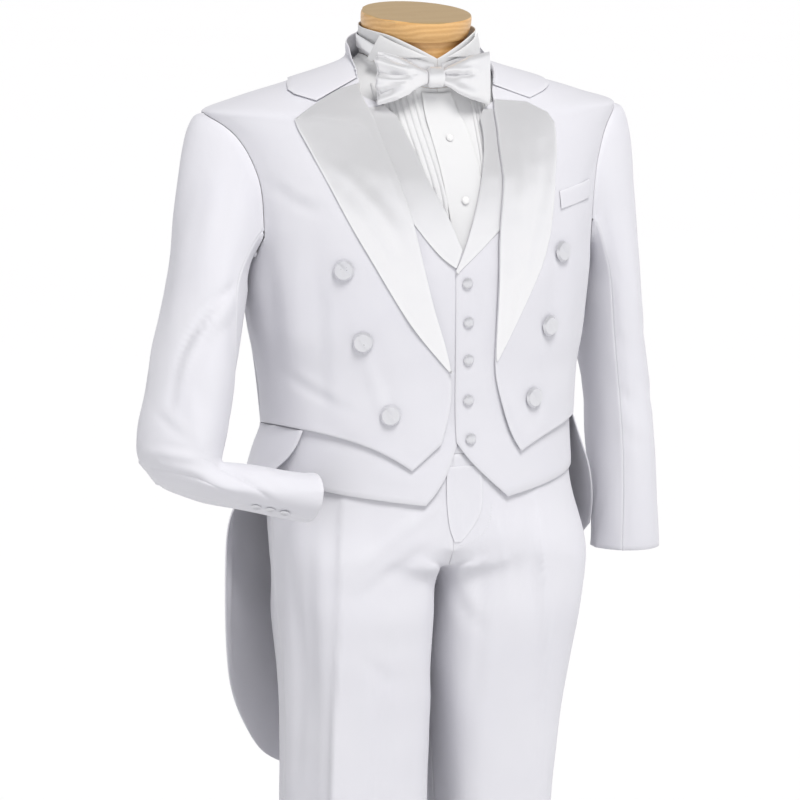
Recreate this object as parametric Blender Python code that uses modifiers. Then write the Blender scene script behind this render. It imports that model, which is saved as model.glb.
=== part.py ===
"""A white peak lapel tailcoat set on a limbless dress form: coat, waistcoat, trousers, shirt and bow tie.

Metres, +Z up. +X is the wearer's left and -Y the front. The origin is the centre of the base's underside.

The torso's cloth lies in layers on one surface of rings. A place on it is an angle, measured from the
front towards the wearer's left, and the nominal height of its ring. Each layer is that surface moved
along its own normals, so that neighbouring walls never cross.
"""
import math

import bpy
import bmesh
import numpy as np
from mathutils import Matrix, Vector

NAME = "peak_lapel_tuxedo"

SIDES = (("right", -1), ("left", 1))

# Driving sizes
SEAM = 0.0003
PANEL_SEAM = 0.00044
HIDDEN_SEAM = 0.0005
HIDDEN_TURN = 0.30
CLOTH = 0.0016
WAISTCOAT_CLOTH = 0.0011
SHIRT_CLOTH = 0.0012
LAPEL_CLOTH = 0.0010
SHIRT_TOP = 1.344
WAIST_HEIGHT = 0.905
ARMPIT_HEIGHT = 1.088
SIDE_SEAM = 95.0

# Depth of each layer's outer face below the coat's outer face
COAT_DEPTH = 0.0
LAPEL_DEPTH = {"right": -0.0031, "left": -0.0025}
COLLAR_DEPTH = -0.0034
SLEEVE_LIFT = 0.0017
WAISTCOAT_DEPTH = 0.0046
WAISTCOAT_SIDE_SINK = 0.0007
WAISTCOAT_UNDERLAP = 0.0017
WAISTCOAT_LAPEL_DEPTH = 0.0029
SHIRT_DEPTH = 0.0106
SHIRT_NECK_DEPTH = 0.0060
PLACKET_LIFT = 0.0020
TIE_BAND_LIFT = 0.0014
WELT_LIFT = 0.0009

# Display form
BASE_RADIUS = 0.200
BASE_THICKNESS = 0.012
BASE_BEVEL = 0.003
POLE_RADIUS = 0.012
POLE_PLACE = (0.092, 0.004)
TORSO_BOTTOM = 0.800
CAP_TOP = (-0.003, -0.004, 1.3900)
CAP_TILT = math.radians(8.5)
NECK_RADII = (0.0585, 0.0610)
# Cap: distance below its top, half width, half depth
CAP_ROWS = (
    (0.0000, 0.0640, 0.0680),
    (0.0020, 0.0660, 0.0700),
    (0.0140, 0.0650, 0.0690),
    (0.0240, 0.0622, 0.0660),
)

# Buttons: radius and thickness
COAT_BUTTON = (0.0125, 0.0050)
WAISTCOAT_BUTTON = (0.0068, 0.0040)
CUFF_BUTTON = (0.0060, 0.0032)
STUD = (0.0050, 0.0030)

# Torso rings: height, half width, front depth, back depth, squareness, front drop, back drop, centre
BODY_ROWS = (
    (0.780, 0.2030, 0.1300, 0.1360, 2.2, 0.000, 0.000, 0.000),
    (0.850, 0.1980, 0.1270, 0.1240, 2.2, 0.000, 0.000, 0.000),
    (0.905, 0.1955, 0.1255, 0.1150, 2.2, 0.000, 0.000, 0.000),
    (0.960, 0.1990, 0.1280, 0.1150, 2.2, 0.000, 0.000, 0.002),
    (1.030, 0.2110, 0.1350, 0.1200, 2.3, 0.000, 0.000, 0.006),
    (1.090, 0.2170, 0.1400, 0.1260, 2.3, 0.000, 0.000, 0.010),
    (1.150, 0.2230, 0.1400, 0.1300, 2.3, 0.002, 0.000, 0.014),
    (1.205, 0.2350, 0.1330, 0.1280, 2.2, 0.008, 0.000, 0.017),
    (1.250, 0.2500, 0.1210, 0.1200, 2.1, 0.020, 0.004, 0.020),
    (1.277, 0.2620, 0.1120, 0.1080, 2.0, 0.026, 0.008, 0.022),
    (1.293, 0.2150, 0.1040, 0.0960, 2.0, 0.030, 0.008, 0.022),
    (1.312, 0.1500, 0.0980, 0.0820, 2.0, 0.038, 0.004, 0.020),
    (1.326, 0.1020, 0.0920, 0.0690, 2.0, 0.040, 0.000, 0.018),
    (1.336, 0.0800, 0.0890, 0.0610, 2.0, 0.040, -0.004, 0.016),
    (1.344, 0.0715, 0.0850, 0.0590, 2.0, 0.040, -0.006, 0.015),
    (1.354, 0.0690, 0.0830, 0.0580, 2.0, 0.040, -0.006, 0.014),
)

# Form torso rings, with the same columns
FORM_ROWS = (
    (0.800, 0.1820, 0.1100, 0.1040, 2.2, 0.000, 0.000, 0.000),
    (0.905, 0.1780, 0.1090, 0.0940, 2.2, 0.000, 0.000, 0.000),
    (0.960, 0.1800, 0.1100, 0.0945, 2.2, 0.000, 0.000, 0.002),
    (1.030, 0.1880, 0.1170, 0.0960, 2.3, 0.000, 0.000, 0.006),
    (1.090, 0.1930, 0.1220, 0.1015, 2.3, 0.000, 0.000, 0.010),
    (1.150, 0.1980, 0.1220, 0.1055, 2.3, 0.002, 0.000, 0.014),
    (1.200, 0.2100, 0.1160, 0.1070, 2.2, 0.008, 0.000, 0.017),
    (1.235, 0.2160, 0.1050, 0.0990, 2.1, 0.018, 0.004, 0.020),
    (1.255, 0.2150, 0.0980, 0.0940, 2.0, 0.024, 0.008, 0.022),
    (1.270, 0.1900, 0.0900, 0.0830, 2.0, 0.028, 0.008, 0.022),
    (1.290, 0.1400, 0.0840, 0.0700, 2.0, 0.036, 0.004, 0.020),
    (1.306, 0.0900, 0.0780, 0.0570, 2.0, 0.040, 0.000, 0.018),
    (1.322, 0.0600, 0.0700, 0.0500, 2.0, 0.040, -0.002, 0.014),
)
FORM_CROWN = (0.0, 0.005, 1.306)

# Armhole: place round it (0 top, 90 front, 180 armpit, 270 back), angle, height
ARMHOLE_ROWS = (
    (0, 90.5, 1.2770),
    (30, 83.0, 1.2640),
    (60, 77.0, 1.2320),
    (90, 74.0, 1.1850),
    (120, 74.5, 1.1400),
    (150, 81.0, 1.1050),
    (180, 95.0, 1.0880),
    (210, 108.0, 1.1000),
    (240, 114.0, 1.1350),
    (270, 114.0, 1.1800),
    (300, 110.0, 1.2220),
    (330, 101.0, 1.2560),
    (360, 90.5, 1.2770),
)

# Coat fronts: edge angle, edge height, share up the side seam and armhole, strips to the next row
COAT_FRONT_ROWS = {
    "right": (
        (23.5, 0.8581, 0.00, 1),
        (9.0, 0.8900, 0.10, 1),
        (1.7, 0.9350, 0.28, 1),
        (3.2, 0.9780, 0.45, 2),
        (11.8, 1.0480, 0.80, 1),
        (17.2, 1.1070, 1.08, 1),
        (21.9, 1.1630, 1.30, 1),
        (26.5, 1.2010, 1.44, 3),
        (33.5, 1.2490, 1.60, 3),
        (41.5, 1.2910, 1.74, 4),
        (62.0, 1.3270, 1.88, 3),
        (90.5, 1.3340, 2.00, 0),
    ),
    "left": (
        (37.5, 0.8735, 0.00, 1),
        (31.5, 0.8990, 0.08, 1),
        (25.5, 0.9416, 0.28, 1),
        (22.5, 0.9700, 0.42, 1),
        (21.5, 1.0060, 0.60, 1),
        (21.5, 1.0690, 0.92, 2),
        (22.5, 1.1430, 1.25, 1),
        (26.0, 1.1930, 1.42, 2),
        (28.0, 1.2310, 1.56, 3),
        (31.5, 1.2730, 1.70, 4),
        (43.5, 1.3190, 1.86, 4),
        (90.5, 1.3340, 2.00, 0),
    ),
}
HEM_SAG = {"right": 0.020, "left": 0.012}

# Coat back halves: centre angle, centre height, share up the side seam and armhole, strips
COAT_BACK_ROWS = (
    (180.0, 0.905, 0.00, 1),
    (180.0, 0.990, 0.46, 1),
    (180.0, 1.085, 1.00, 1),
    (180.0, 1.170, 1.36, 2),
    (180.0, 1.250, 1.60, 3),
    (180.0, 1.296, 1.70, 3),
    (180.0, 1.334, 1.78, 2),
    (138.0, 1.334, 1.90, 3),
    (90.5, 1.334, 2.00, 0),
)

# Lapels: outer edge angle and height, up to the peak and back to the gorge
LAPEL_EDGE_ROWS = {
    "right": (
        (4.0, 0.9740),
        (14.0, 1.0010),
        (21.0, 1.0225),
        (28.0, 1.0520),
        (34.0, 1.0830),
        (42.5, 1.1305),
        (49.0, 1.1730),
        (55.5, 1.2140),
        (65.0, 1.2743),
        (60.6, 1.3180),
    ),
    "left": (
        (22.9, 0.9840),
        (29.0, 1.0150),
        (34.5, 1.0430),
        (38.5, 1.0725),
        (43.0, 1.1010),
        (46.0, 1.1305),
        (48.0, 1.1625),
        (50.0, 1.1960),
        (54.0, 1.2355),
        (57.0, 1.2731),
        (49.6, 1.3130),
    ),
}
# Height at the front edge where each lapel begins, and where it meets the collar
LAPEL_SPAN = {"right": (0.9740, 1.3225), "left": (0.9840, 1.3170)}

# Collar, from one gorge round the neck to the other: crest angle and height, outer edge angle and
# height, rise of the crest above the neckline
STAND_LEAN = 0.12
COLLAR_ROWS = (
    (-60.1, 1.3240, -63.7, 1.2962, 0.002),
    (-66.0, 1.3282, -73.5, 1.3005, 0.003),
    (-80.0, 1.3325, -84.0, 1.3075, 0.009),
    (-92.0, 1.3345, -94.0, 1.3110, 0.015),
    (-115.0, 1.3345, -116.0, 1.3090, 0.023),
    (-145.0, 1.3345, -146.0, 1.3040, 0.028),
    (-180.0, 1.3345, -180.0, 1.3010, 0.030),
    (-215.0, 1.3345, -214.0, 1.3040, 0.028),
    (-245.0, 1.3345, -244.0, 1.3090, 0.023),
    (-268.0, 1.3345, -266.0, 1.3110, 0.015),
    (-280.0, 1.3325, -277.0, 1.3080, 0.009),
    (-296.0, 1.3275, -291.0, 1.3020, 0.003),
    (-312.2, 1.3218, -304.3, 1.2980, 0.002),
)

# Tails: height, half width on each side, back depth, centre
TAIL_ROWS = (
    (0.9045, 0.1955, 0.1955, 0.1150, 0.000),
    (0.870, 0.2050, 0.2070, 0.1260, 0.000),
    (0.830, 0.2200, 0.2210, 0.1420, 0.000),
    (0.780, 0.2340, 0.2310, 0.1580, 0.000),
    (0.745, 0.2370, 0.2330, 0.1650, 0.000),
    (0.700, 0.2380, 0.2300, 0.1700, 0.000),
    (0.600, 0.2390, 0.2290, 0.1740, 0.000),
    (0.475, 0.2400, 0.2310, 0.1760, 0.000),
)
TAIL_SQUARENESS = 2.2
TAIL_DROP = 0.0010
VENT_ANGLE = 0.3
# Tail outline: front edge angle on each side, front edge height, height at the centre vent
TAIL_EDGE_ROWS = (
    (68.5, 76.5, 0.9085, 0.9045),
    (71.0, 78.0, 0.8800, 0.8800),
    (77.0, 81.0, 0.8550, 0.8550),
    (90.0, 84.5, 0.8250, 0.8250),
    (103.0, 90.0, 0.7800, 0.7850),
    (106.0, 95.0, 0.7480, 0.7500),
    (107.0, 103.5, 0.7150, 0.7150),
    (108.5, 108.0, 0.6500, 0.6500),
    (112.0, 112.0, 0.5950, 0.6050),
    (118.0, 118.0, 0.5500, 0.5650),
    (125.5, 125.5, 0.5100, 0.5320),
    (133.0, 133.0, 0.4760, 0.5040),
    (142.0, 142.0, 0.4560, 0.4800),
)

# Left sleeve, down from below the armpit: height, centre x, centre y, outer, front, inner, back radius
LEFT_SLEEVE_ROWS = (
    (1.060, 0.2530, 0.020, 0.0390, 0.0700, 0.0335, 0.0700),
    (0.990, 0.2600, 0.018, 0.0385, 0.0660, 0.0360, 0.0680),
    (0.924, 0.2670, 0.014, 0.0380, 0.0620, 0.0370, 0.0650),
    (0.860, 0.2710, 0.008, 0.0385, 0.0580, 0.0370, 0.0610),
    (0.800, 0.2735, 0.003, 0.0400, 0.0510, 0.0385, 0.0540),
    (0.730, 0.2750, 0.000, 0.0425, 0.0440, 0.0410, 0.0450),
)
# Right sleeve, along its bent path: distance, outer, front, inner, back radius, hind seam, front seam
RIGHT_SLEEVE_PATH = ((-0.235, 0.020, 1.190), (-0.3175, -0.075, 0.8405), (-0.1763, -0.112, 0.8332))
RIGHT_SLEEVE_BEND = 0.040
RIGHT_SLEEVE_ROWS = (
    (0.130, 0.0540, 0.0700, 0.0420, 0.0700, -100.0, 128.0),
    (0.180, 0.0590, 0.0710, 0.0410, 0.0730, -85.0, 140.0),
    (0.235, 0.0635, 0.0700, 0.0410, 0.0720, -60.0, 165.0),
    (0.285, 0.0655, 0.0660, 0.0400, 0.0680, -35.0, 188.0),
    (0.327, 0.0640, 0.0620, 0.0365, 0.0640, -16.0, 205.0),
    (0.340, 0.0550, 0.0600, 0.0365, 0.0620, -8.0, 212.0),
    (0.352, 0.0340, 0.0570, 0.0365, 0.0590, 0.0, 218.0),
    (0.365, 0.0190, 0.0550, 0.0365, 0.0570, 8.0, 226.0),
    (0.380, 0.0135, 0.0530, 0.0365, 0.0550, 14.0, 232.0),
    (0.394, 0.0130, 0.0520, 0.0370, 0.0540, 18.0, 238.0),
    (0.425, 0.0180, 0.0500, 0.0350, 0.0520, 20.0, 242.0),
    (0.460, 0.0250, 0.0460, 0.0305, 0.0480, 18.0, 244.0),
    (0.495, 0.0300, 0.0440, 0.0280, 0.0460, 14.0, 246.0),
)
RIGHT_SLEEVE_STATIONS = (
    (0.130, 0.180, 0.235, 0.285, 0.316, 0.333)
    + (0.346, 0.359, 0.376, 0.400, 0.430, 0.462, 0.495)
)
CUFF_SLANT = {"right": 0.26, "left": 0.0}
SLEEVE_SEAMS = (-110.0, 120.0)
SLEEVE_SEAM_SHARE = {"top": 0.0016, "under": 0.0026}
SLEEVE_HEAD_STEPS = (0.10, 0.26, 0.46, 0.70)
ARMHOLE_CENTRE = (94.0, 1.180)
# Cuff buttons: share of the last two rings, place round the sleeve, lift off its curve
CUFF_BUTTON_ROWS = {
    "right": ((0.00, 30.0, 0.0003), (0.26, 30.0, 0.0006), (0.52, 30.0, 0.0014)),
    "left": ((0.10, -104.0, 0.0002), (0.36, -104.0, 0.0001), (0.62, -104.0, 0.0002)),
}

# Waistcoat fronts: edge angle, edge height, share up the side seam and armhole, strips
WAISTCOAT_FRONT_ROWS = {
    "right": (
        (-16.0, 0.8157, 0.00, 1),
        (-4.5, 0.8440, 0.10, 1),
        (2.5, 0.8889, 0.28, 1),
        (9.0, 0.9300, 0.42, 1),
        (10.0, 1.0200, 0.75, 1),
        (9.0, 1.0900, 1.00, 1),
        (3.5, 1.1180, 1.10, 1),
        (-4.0, 1.1639, 1.28, 1),
        (-12.0, 1.2063, 1.48, 2),
        (-19.0, 1.2564, 1.70, 3),
        (-37.0, 1.3103, 1.86, 4),
        (-90.0, 1.3220, 2.00, 0),
    ),
    "left": (
        (30.5, 0.8205, 0.00, 1),
        (12.0, 0.8600, 0.14, 1),
        (1.5, 0.8889, 0.28, 1),
        (0.6, 0.9300, 0.42, 1),
        (0.4, 1.0200, 0.75, 1),
        (0.2, 1.0940, 1.00, 1),
        (4.8, 1.1180, 1.10, 1),
        (10.5, 1.1600, 1.28, 1),
        (16.0, 1.2037, 1.48, 2),
        (22.0, 1.2525, 1.70, 3),
        (31.0, 1.3060, 1.86, 4),
        (90.0, 1.3220, 2.00, 0),
    ),
}
WAISTCOAT_SAG = {"right": -0.004, "left": -0.002}
WAISTCOAT_SIDE_HEIGHT = 0.856
LAP_BOTTOM = 0.865
# Waistcoat and shirt armhole: share from the armpit to the shoulder, angle, height
WAISTCOAT_ARMHOLE = (
    (0.00, 95.0, 1.070),
    (0.25, 76.0, 1.105),
    (0.55, 66.0, 1.180),
    (0.80, 72.0, 1.250),
    (1.00, 90.0, 1.298),
)
# Waistcoat back: height, outer angle, depth
WAISTCOAT_BACK_ROWS = (
    (0.858, 95.0, 0.0044),
    (0.905, 95.0, 0.0044),
    (0.980, 95.0, 0.0048),
    (1.070, 95.0, 0.0056),
    (1.110, 113.0, 0.0058),
    (1.160, 119.5, 0.0060),
    (1.210, 118.0, 0.0060),
    (1.250, 110.0, 0.0060),
    (1.275, 100.0, 0.0060),
    (1.297, 90.0, 0.0060),
    (1.310, 90.0, 0.0060),
    (1.322, 90.0, 0.0060),
)
# Waistcoat lapels: outer edge angle and height
WAISTCOAT_LAPEL_ROWS = {
    "right": (
        (0.0, 1.0971),
        (-8.5, 1.1130),
        (-19.5, 1.1484),
        (-31.0, 1.1950),
        (-42.0, 1.2450),
        (-56.0, 1.3020),
    ),
    "left": (
        (1.4, 1.0915),
        (11.0, 1.1125),
        (18.0, 1.1260),
        (23.0, 1.1395),
        (29.0, 1.1700),
        (36.0, 1.2200),
        (44.0, 1.2600),
        (54.0, 1.3020),
    ),
}
# Height at the front edge where each waistcoat lapel begins and ends
WAISTCOAT_LAPEL_SPAN = {"right": (1.0985, 1.3110), "left": (1.0905, 1.3070)}
# Turn between the right waistcoat lapel and the left front that covers its end
LAPEL_LAP_GAP = 0.30

# Shirt: height, front centre angle, outer angle of the fronts and of the back
SHIRT_ROWS = (
    (0.935, 8.5, 95.0, 95.0),
    (1.070, 7.5, 95.0, 95.0),
    (1.105, 7.5, 76.0, 113.0),
    (1.145, 7.5, 69.0, 119.0),
    (1.185, 7.3, 66.0, 120.0),
    (1.220, 6.6, 68.0, 116.5),
    (1.250, 5.8, 73.0, 110.0),
    (1.275, 5.0, 81.0, 100.0),
    (1.296, 4.0, 90.0, 90.0),
    (1.312, 3.0, 90.0, 90.0),
    (1.328, 2.0, 90.0, 90.0),
    (1.344, 0.0, 90.0, 90.0),
)
# Placket: height, inner edge angle, outer edge angle
PLACKET_ROWS = (
    (0.9450, 0.0, 17.0),
    (1.1150, -1.0, 16.0),
    (1.1562, -1.5, 16.5),
    (1.1896, -3.0, 17.5),
    (1.2435, -5.0, 17.5),
    (1.3000, -8.5, 17.0),
    (1.3395, -13.5, 12.0),
)
# Collar band's top edge: angle, height, radius
BAND_TOP_ROWS = (
    (0, 1.3380, 0.0715),
    (25, 1.3540, 0.0722),
    (50, 1.3665, 0.0730),
    (90, 1.3735, 0.0697),
    (135, 1.3790, 0.0680),
    (180, 1.3810, 0.0665),
)
BAND_CENTRE = (-0.001, 0.003)
# Collar wings: share from the band's crest to the tip edge, its angles, heights and distance off the band
WING_ROWS = (
    (0.0, -55.0, -9.0, 1.3660, 1.3400, 0.0024),
    (0.5, -61.0, -34.0, 1.3530, 1.3395, 0.0040),
    (1.0, -70.0, -63.0, 1.3365, 1.3350, 0.0048),
)
# Tie band round the collar: angle of its ends behind the knot, then angle, lower edge, upper edge
TIE_BAND_END = 4.0
TIE_BAND_ROWS = (
    (0, 1.3160, 1.3310),
    (45, 1.3320, 1.3470),
    (90, 1.3480, 1.3630),
    (180, 1.3560, 1.3710),
)

# Bow tie: share out from the knot, half height, thickness, backward bend
BOW_ROWS = (
    (0.00, 0.0075, 0.0060, 0.0000),
    (0.18, 0.0120, 0.0085, 0.0000),
    (0.45, 0.0215, 0.0120, 0.0000),
    (0.75, 0.0280, 0.0115, 0.0015),
    (1.00, 0.0315, 0.0070, 0.0055),
)
BOW_PLACE = (-0.0073, -0.0787, 1.3174)
BOW_REACH = {"right": 0.0705, "left": 0.0700}
BOW_RISE = {"right": 0.0000, "left": -0.0030}
KNOT_SIZE = (0.0100, 0.0075, 0.0115)
# Knot: share of its half width, size of the section
KNOT_ROWS = ((-1.0, 0.80), (-0.6, 1.0), (0.6, 1.0), (1.0, 0.80))

# Trousers: height, outer reach on each side, share of it past the centre, front depth, back depth,
# gap to the centre on each side
TROUSER_ROWS = (
    (0.9115, 0.1870, 0.1870, 1.00, 0.1170, 0.1060, 0.0000, 0.0000),
    (0.8600, 0.1875, 0.1890, 1.00, 0.1175, 0.1110, 0.0000, 0.0000),
    (0.8200, 0.1870, 0.1915, 0.94, 0.1170, 0.1140, 0.0000, 0.0000),
    (0.7800, 0.1860, 0.2045, 0.70, 0.1190, 0.1150, 0.0000, 0.0000),
    (0.7500, 0.1850, 0.2110, 0.38, 0.1200, 0.1150, 0.0000, 0.0000),
    (0.7300, 0.1840, 0.2115, 0.00, 0.1190, 0.1150, 0.0018, 0.0018),
    (0.6500, 0.1765, 0.1980, 0.00, 0.1110, 0.1100, 0.0024, 0.0040),
    (0.5600, 0.1710, 0.1810, 0.00, 0.1020, 0.1020, 0.0030, 0.0110),
    (0.4370, 0.1720, 0.1630, 0.00, 0.0930, 0.0940, 0.0050, 0.0220),
    (0.2500, 0.1680, 0.1560, 0.00, 0.0860, 0.0880, 0.0100, 0.0220),
    (0.0350, 0.1620, 0.1520, 0.00, 0.0830, 0.0850, 0.0150, 0.0200),
)
TROUSER_SQUARENESS = 2.2
INNER_SQUARENESS = 3.4
# Pressed creases: height, place of the front and of the back crease round the leg, height of the ridge
CREASE_ROWS = (
    (0.8747, 55.0, -60.0, 0.0000),
    (0.7800, 54.0, -80.0, 0.0010),
    (0.7300, 53.0, -105.0, 0.0025),
    (0.6000, 53.0, -127.0, 0.0040),
    (0.0350, 53.0, -127.0, 0.0045),
)
CREASE_SPREAD = 9.0
LEG_HEIGHTS = (0.8747, 0.8300, 0.7900, 0.7600, 0.7400, 0.7200, 0.6600, 0.5600, 0.4400, 0.2400, 0.0350)
BAND_BOTTOM = 0.8750
BAND_TOP = 0.9115
# Fly: height, inner edge and outer edge across the front
FLY_ROWS = (
    (0.8600, -0.0088, 0.0370),
    (0.8200, -0.0082, 0.0380),
    (0.7950, -0.0061, 0.0335),
    (0.7800, -0.0031, 0.0200),
    (0.7690, 0.0018, 0.0095),
)
FLY_LIFT = 0.0021
FLY_CLOTH = 0.0011

# Small pieces placed on the torso: angle, height, lift off the cloth's own curve
COAT_BUTTONS = {
    "right": ((-48.5, 1.0970, 0.0008), (-43.5, 1.0125, 0.0008), (-34.0, 0.9250, 0.0008)),
    "left": ((52.0, 1.1085, 0.0008), (48.0, 1.0213, 0.0000), (43.5, 0.9365, 0.0008)),
}
WAISTCOAT_BUTTONS = (
    (6.0, 1.0778, -0.0004),
    (7.0, 1.0315, 0.0001),
    (7.5, 0.9866, 0.0008),
    (8.0, 0.9390, 0.0008),
    (9.5, 0.8928, 0.0008),
)
STUDS = ((4.5, 1.2756, 0.0001), (7.0, 1.1806, 0.0008))
# Breast welt corners: angle and height of its lower edge's ends, and its width
WELT_ENDS = ((51.5, 1.1600), (67.5, 1.1690))
WELT_WIDTH = 0.022

WHITE_WOOL = (0.84, 0.84, 0.87)
WHITE_SATIN = (0.90, 0.90, 0.91)
WHITE_COTTON = (0.91, 0.91, 0.91)
LIGHT_WOOD = (0.62, 0.38, 0.16)
FORM_CLOTH = (0.72, 0.68, 0.60)
GREY_METAL = (0.45, 0.45, 0.47)
# Finish: colour, roughness, metallic
FINISHES = {
    "wool": (WHITE_WOOL, 0.85, 0.0),
    "satin": (WHITE_SATIN, 0.35, 0.0),
    "cotton": (WHITE_COTTON, 0.80, 0.0),
    "wood": (LIGHT_WOOD, 0.45, 0.0),
    "form": (FORM_CLOTH, 0.90, 0.0),
    "metal": (GREY_METAL, 0.40, 1.0),
}


def clear_scene():
    for obj in list(bpy.data.objects):
        bpy.data.objects.remove(obj)


def make_collection():
    collection = bpy.data.collections.new(NAME)
    bpy.context.scene.collection.children.link(collection)
    return collection


def make_material(name, finish):
    colour, roughness, metallic = FINISHES[finish]
    material = bpy.data.materials.new(name)
    material.use_nodes = True
    shader = material.node_tree.nodes["Principled BSDF"]
    shader.inputs["Base Color"].default_value = (*colour, 1.0)
    shader.inputs["Roughness"].default_value = roughness
    shader.inputs["Metallic"].default_value = metallic
    return material


def smooth_curve(xs, ys):
    """A smooth curve through the points that never overshoots them."""
    xs = np.asarray(xs, float)
    ys = np.asarray(ys, float)
    step = np.diff(xs)
    slope = np.diff(ys) / step
    tangent = np.zeros(len(xs))
    tangent[0] = slope[0]
    tangent[-1] = slope[-1]
    for i in range(1, len(xs) - 1):
        if slope[i - 1] * slope[i] > 0:
            before = 2 * step[i] + step[i - 1]
            after = step[i] + 2 * step[i - 1]
            tangent[i] = (before + after) / (before / slope[i - 1] + after / slope[i])

    def value(x):
        x = np.clip(np.asarray(x, float), xs[0], xs[-1])
        i = np.clip(np.searchsorted(xs, x, side="right") - 1, 0, len(xs) - 2)
        t = (x - xs[i]) / step[i]
        return (
            ys[i] * (1 + 2 * t) * (1 - t) ** 2
            + tangent[i] * step[i] * t * (1 - t) ** 2
            + ys[i + 1] * t * t * (3 - 2 * t)
            + tangent[i + 1] * step[i] * t * t * (t - 1)
        )

    return value


def table(rows):
    """One smooth curve for each column of a table after its first."""
    data = np.array(rows, float)
    order = np.argsort(data[:, 0])
    data = data[order]
    return [smooth_curve(data[:, 0], data[:, k]) for k in range(1, data.shape[1])]


def resampled(rows, count):
    """The table's rows resampled evenly, keeping its ends."""
    data = np.array(rows, float)
    place = np.arange(len(data))
    wanted = np.linspace(0, len(data) - 1, count)
    return np.stack([smooth_curve(place, data[:, k])(wanted) for k in range(data.shape[1])], -1)


def graded(rows):
    """The table's rows with the strips that its last column asks for between them."""
    data = np.array(rows, float)
    place = np.arange(len(data))
    counts = data[:-1, -1].astype(int)
    wanted = np.concatenate([k + np.arange(n) / n for k, n in enumerate(counts)] + [place[-1:]])
    return np.stack([smooth_curve(place, data[:, k])(wanted) for k in range(data.shape[1] - 1)], -1)


def ring_surface(rows):
    """A surface of rings: point(angle in degrees, height)."""
    width, front, back, square, front_drop, back_drop, centre = table(rows)

    def point(angle, h):
        angle, h = np.broadcast_arrays(np.radians(np.asarray(angle, float)), np.asarray(h, float))
        s = np.sin(angle)
        c = np.cos(angle)
        ahead = c > 0
        depth = np.where(ahead, front(h), back(h))
        n = square(h)
        r = (np.abs(s / width(h)) ** n + np.abs(c / depth) ** n) ** (-1 / n)
        drop = np.where(ahead, front_drop(h), back_drop(h))
        return np.stack([r * s, centre(h) - r * c, h - drop * c * c], -1)

    return point


def outward(surface, angle, h):
    """The surface's outward normal, from its own slopes."""
    turn = 0.06
    rise = 0.001
    around = surface(angle + turn, h) - surface(angle - turn, h)
    up = surface(angle, h + rise) - surface(angle, h - rise)
    n = np.cross(around, up)
    return n / np.linalg.norm(n, axis=-1, keepdims=True)


def layer(surface, places, depth):
    """The surface's points at the places, moved inward by the depth."""
    angle = places[..., 0]
    h = places[..., 1]
    depth = np.asarray(depth, float)
    return surface(angle, h) - outward(surface, angle, h) * depth[..., None]


body = ring_surface(BODY_ROWS)


def make_object(name, points, faces, finish, smooth_angle=40.0):
    mesh = bpy.data.meshes.new(name)
    mesh.from_pydata([tuple(p) for p in points], [], faces)
    work = bmesh.new()
    work.from_mesh(mesh)
    bmesh.ops.recalc_face_normals(work, faces=work.faces)
    work.to_mesh(mesh)
    work.free()
    mesh.shade_smooth()
    mesh.set_sharp_from_angle(angle=math.radians(smooth_angle))
    mesh.materials.append(make_material(name, finish))
    obj = bpy.data.objects.new(name, mesh)
    part_collection.objects.link(obj)
    return obj


def finish_primitive(name, finish):
    """Name the primitive just added, give it its material and keep it with the parts."""
    obj = bpy.context.active_object
    obj.name = name
    obj.data.name = name
    for collection in list(obj.users_collection):
        collection.objects.unlink(obj)
    part_collection.objects.link(obj)
    obj.data.materials.append(make_material(name, finish))
    return obj


def wall(name, outer, inner, finish, ring=False):
    """Close the space between two grids of points; a ring's last column joins its first."""
    rows, cols = outer.shape[:2]
    index = np.arange(rows * cols).reshape(rows, cols)
    if ring:
        index = np.concatenate([index, index[:, :1]], 1)
    far = index + rows * cols
    faces = []
    for i in range(index.shape[0] - 1):
        for j in range(index.shape[1] - 1):
            faces.append((index[i, j], index[i, j + 1], index[i + 1, j + 1], index[i + 1, j]))
            faces.append((far[i, j], far[i + 1, j], far[i + 1, j + 1], far[i, j + 1]))
    edges = [(index[0], far[0]), (index[-1], far[-1])]
    if not ring:
        edges += [(index[:, 0], far[:, 0]), (index[:, -1], far[:, -1])]
    for near, away in edges:
        for k in range(len(near) - 1):
            faces.append((near[k], near[k + 1], away[k + 1], away[k]))
    faces = [tuple(int(v) for v in face) for face in faces]
    points = np.concatenate([outer.reshape(-1, 3), inner.reshape(-1, 3)])
    return make_object(name, points, faces, finish)


def capped(name, rings, finish):
    """A solid through closed rings, with flat ends."""
    rows, cols = rings.shape[:2]
    faces = []
    for i in range(rows - 1):
        for j in range(cols):
            k = (j + 1) % cols
            faces.append((i * cols + j, i * cols + k, (i + 1) * cols + k, (i + 1) * cols + j))
    faces.append(tuple(range(cols)))
    faces.append(tuple((rows - 1) * cols + j for j in range(cols)))
    return make_object(name, rings.reshape(-1, 3), faces, finish)


def spread(inner, outer, cols, sag=0.0):
    """Places between an inner and an outer edge, with the first rows bowed by the sag."""
    share = np.linspace(0, 1, cols)[None, :, None]
    places = inner[:, None, :] * (1 - share) + outer[:, None, :] * share
    fade = np.clip(1 - np.arange(len(inner)) / 3.0, 0, 1)[:, None]
    bow = 4 * share[..., 0] * (1 - share[..., 0])
    places[..., 1] += sag * bow * fade
    return places


def turned_by(places, gap):
    """The angle that a gap spans on the torso at each place."""
    radius = np.linalg.norm(body(places[..., 0], places[..., 1])[..., :2], axis=-1)
    return np.degrees(gap / radius)


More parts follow.
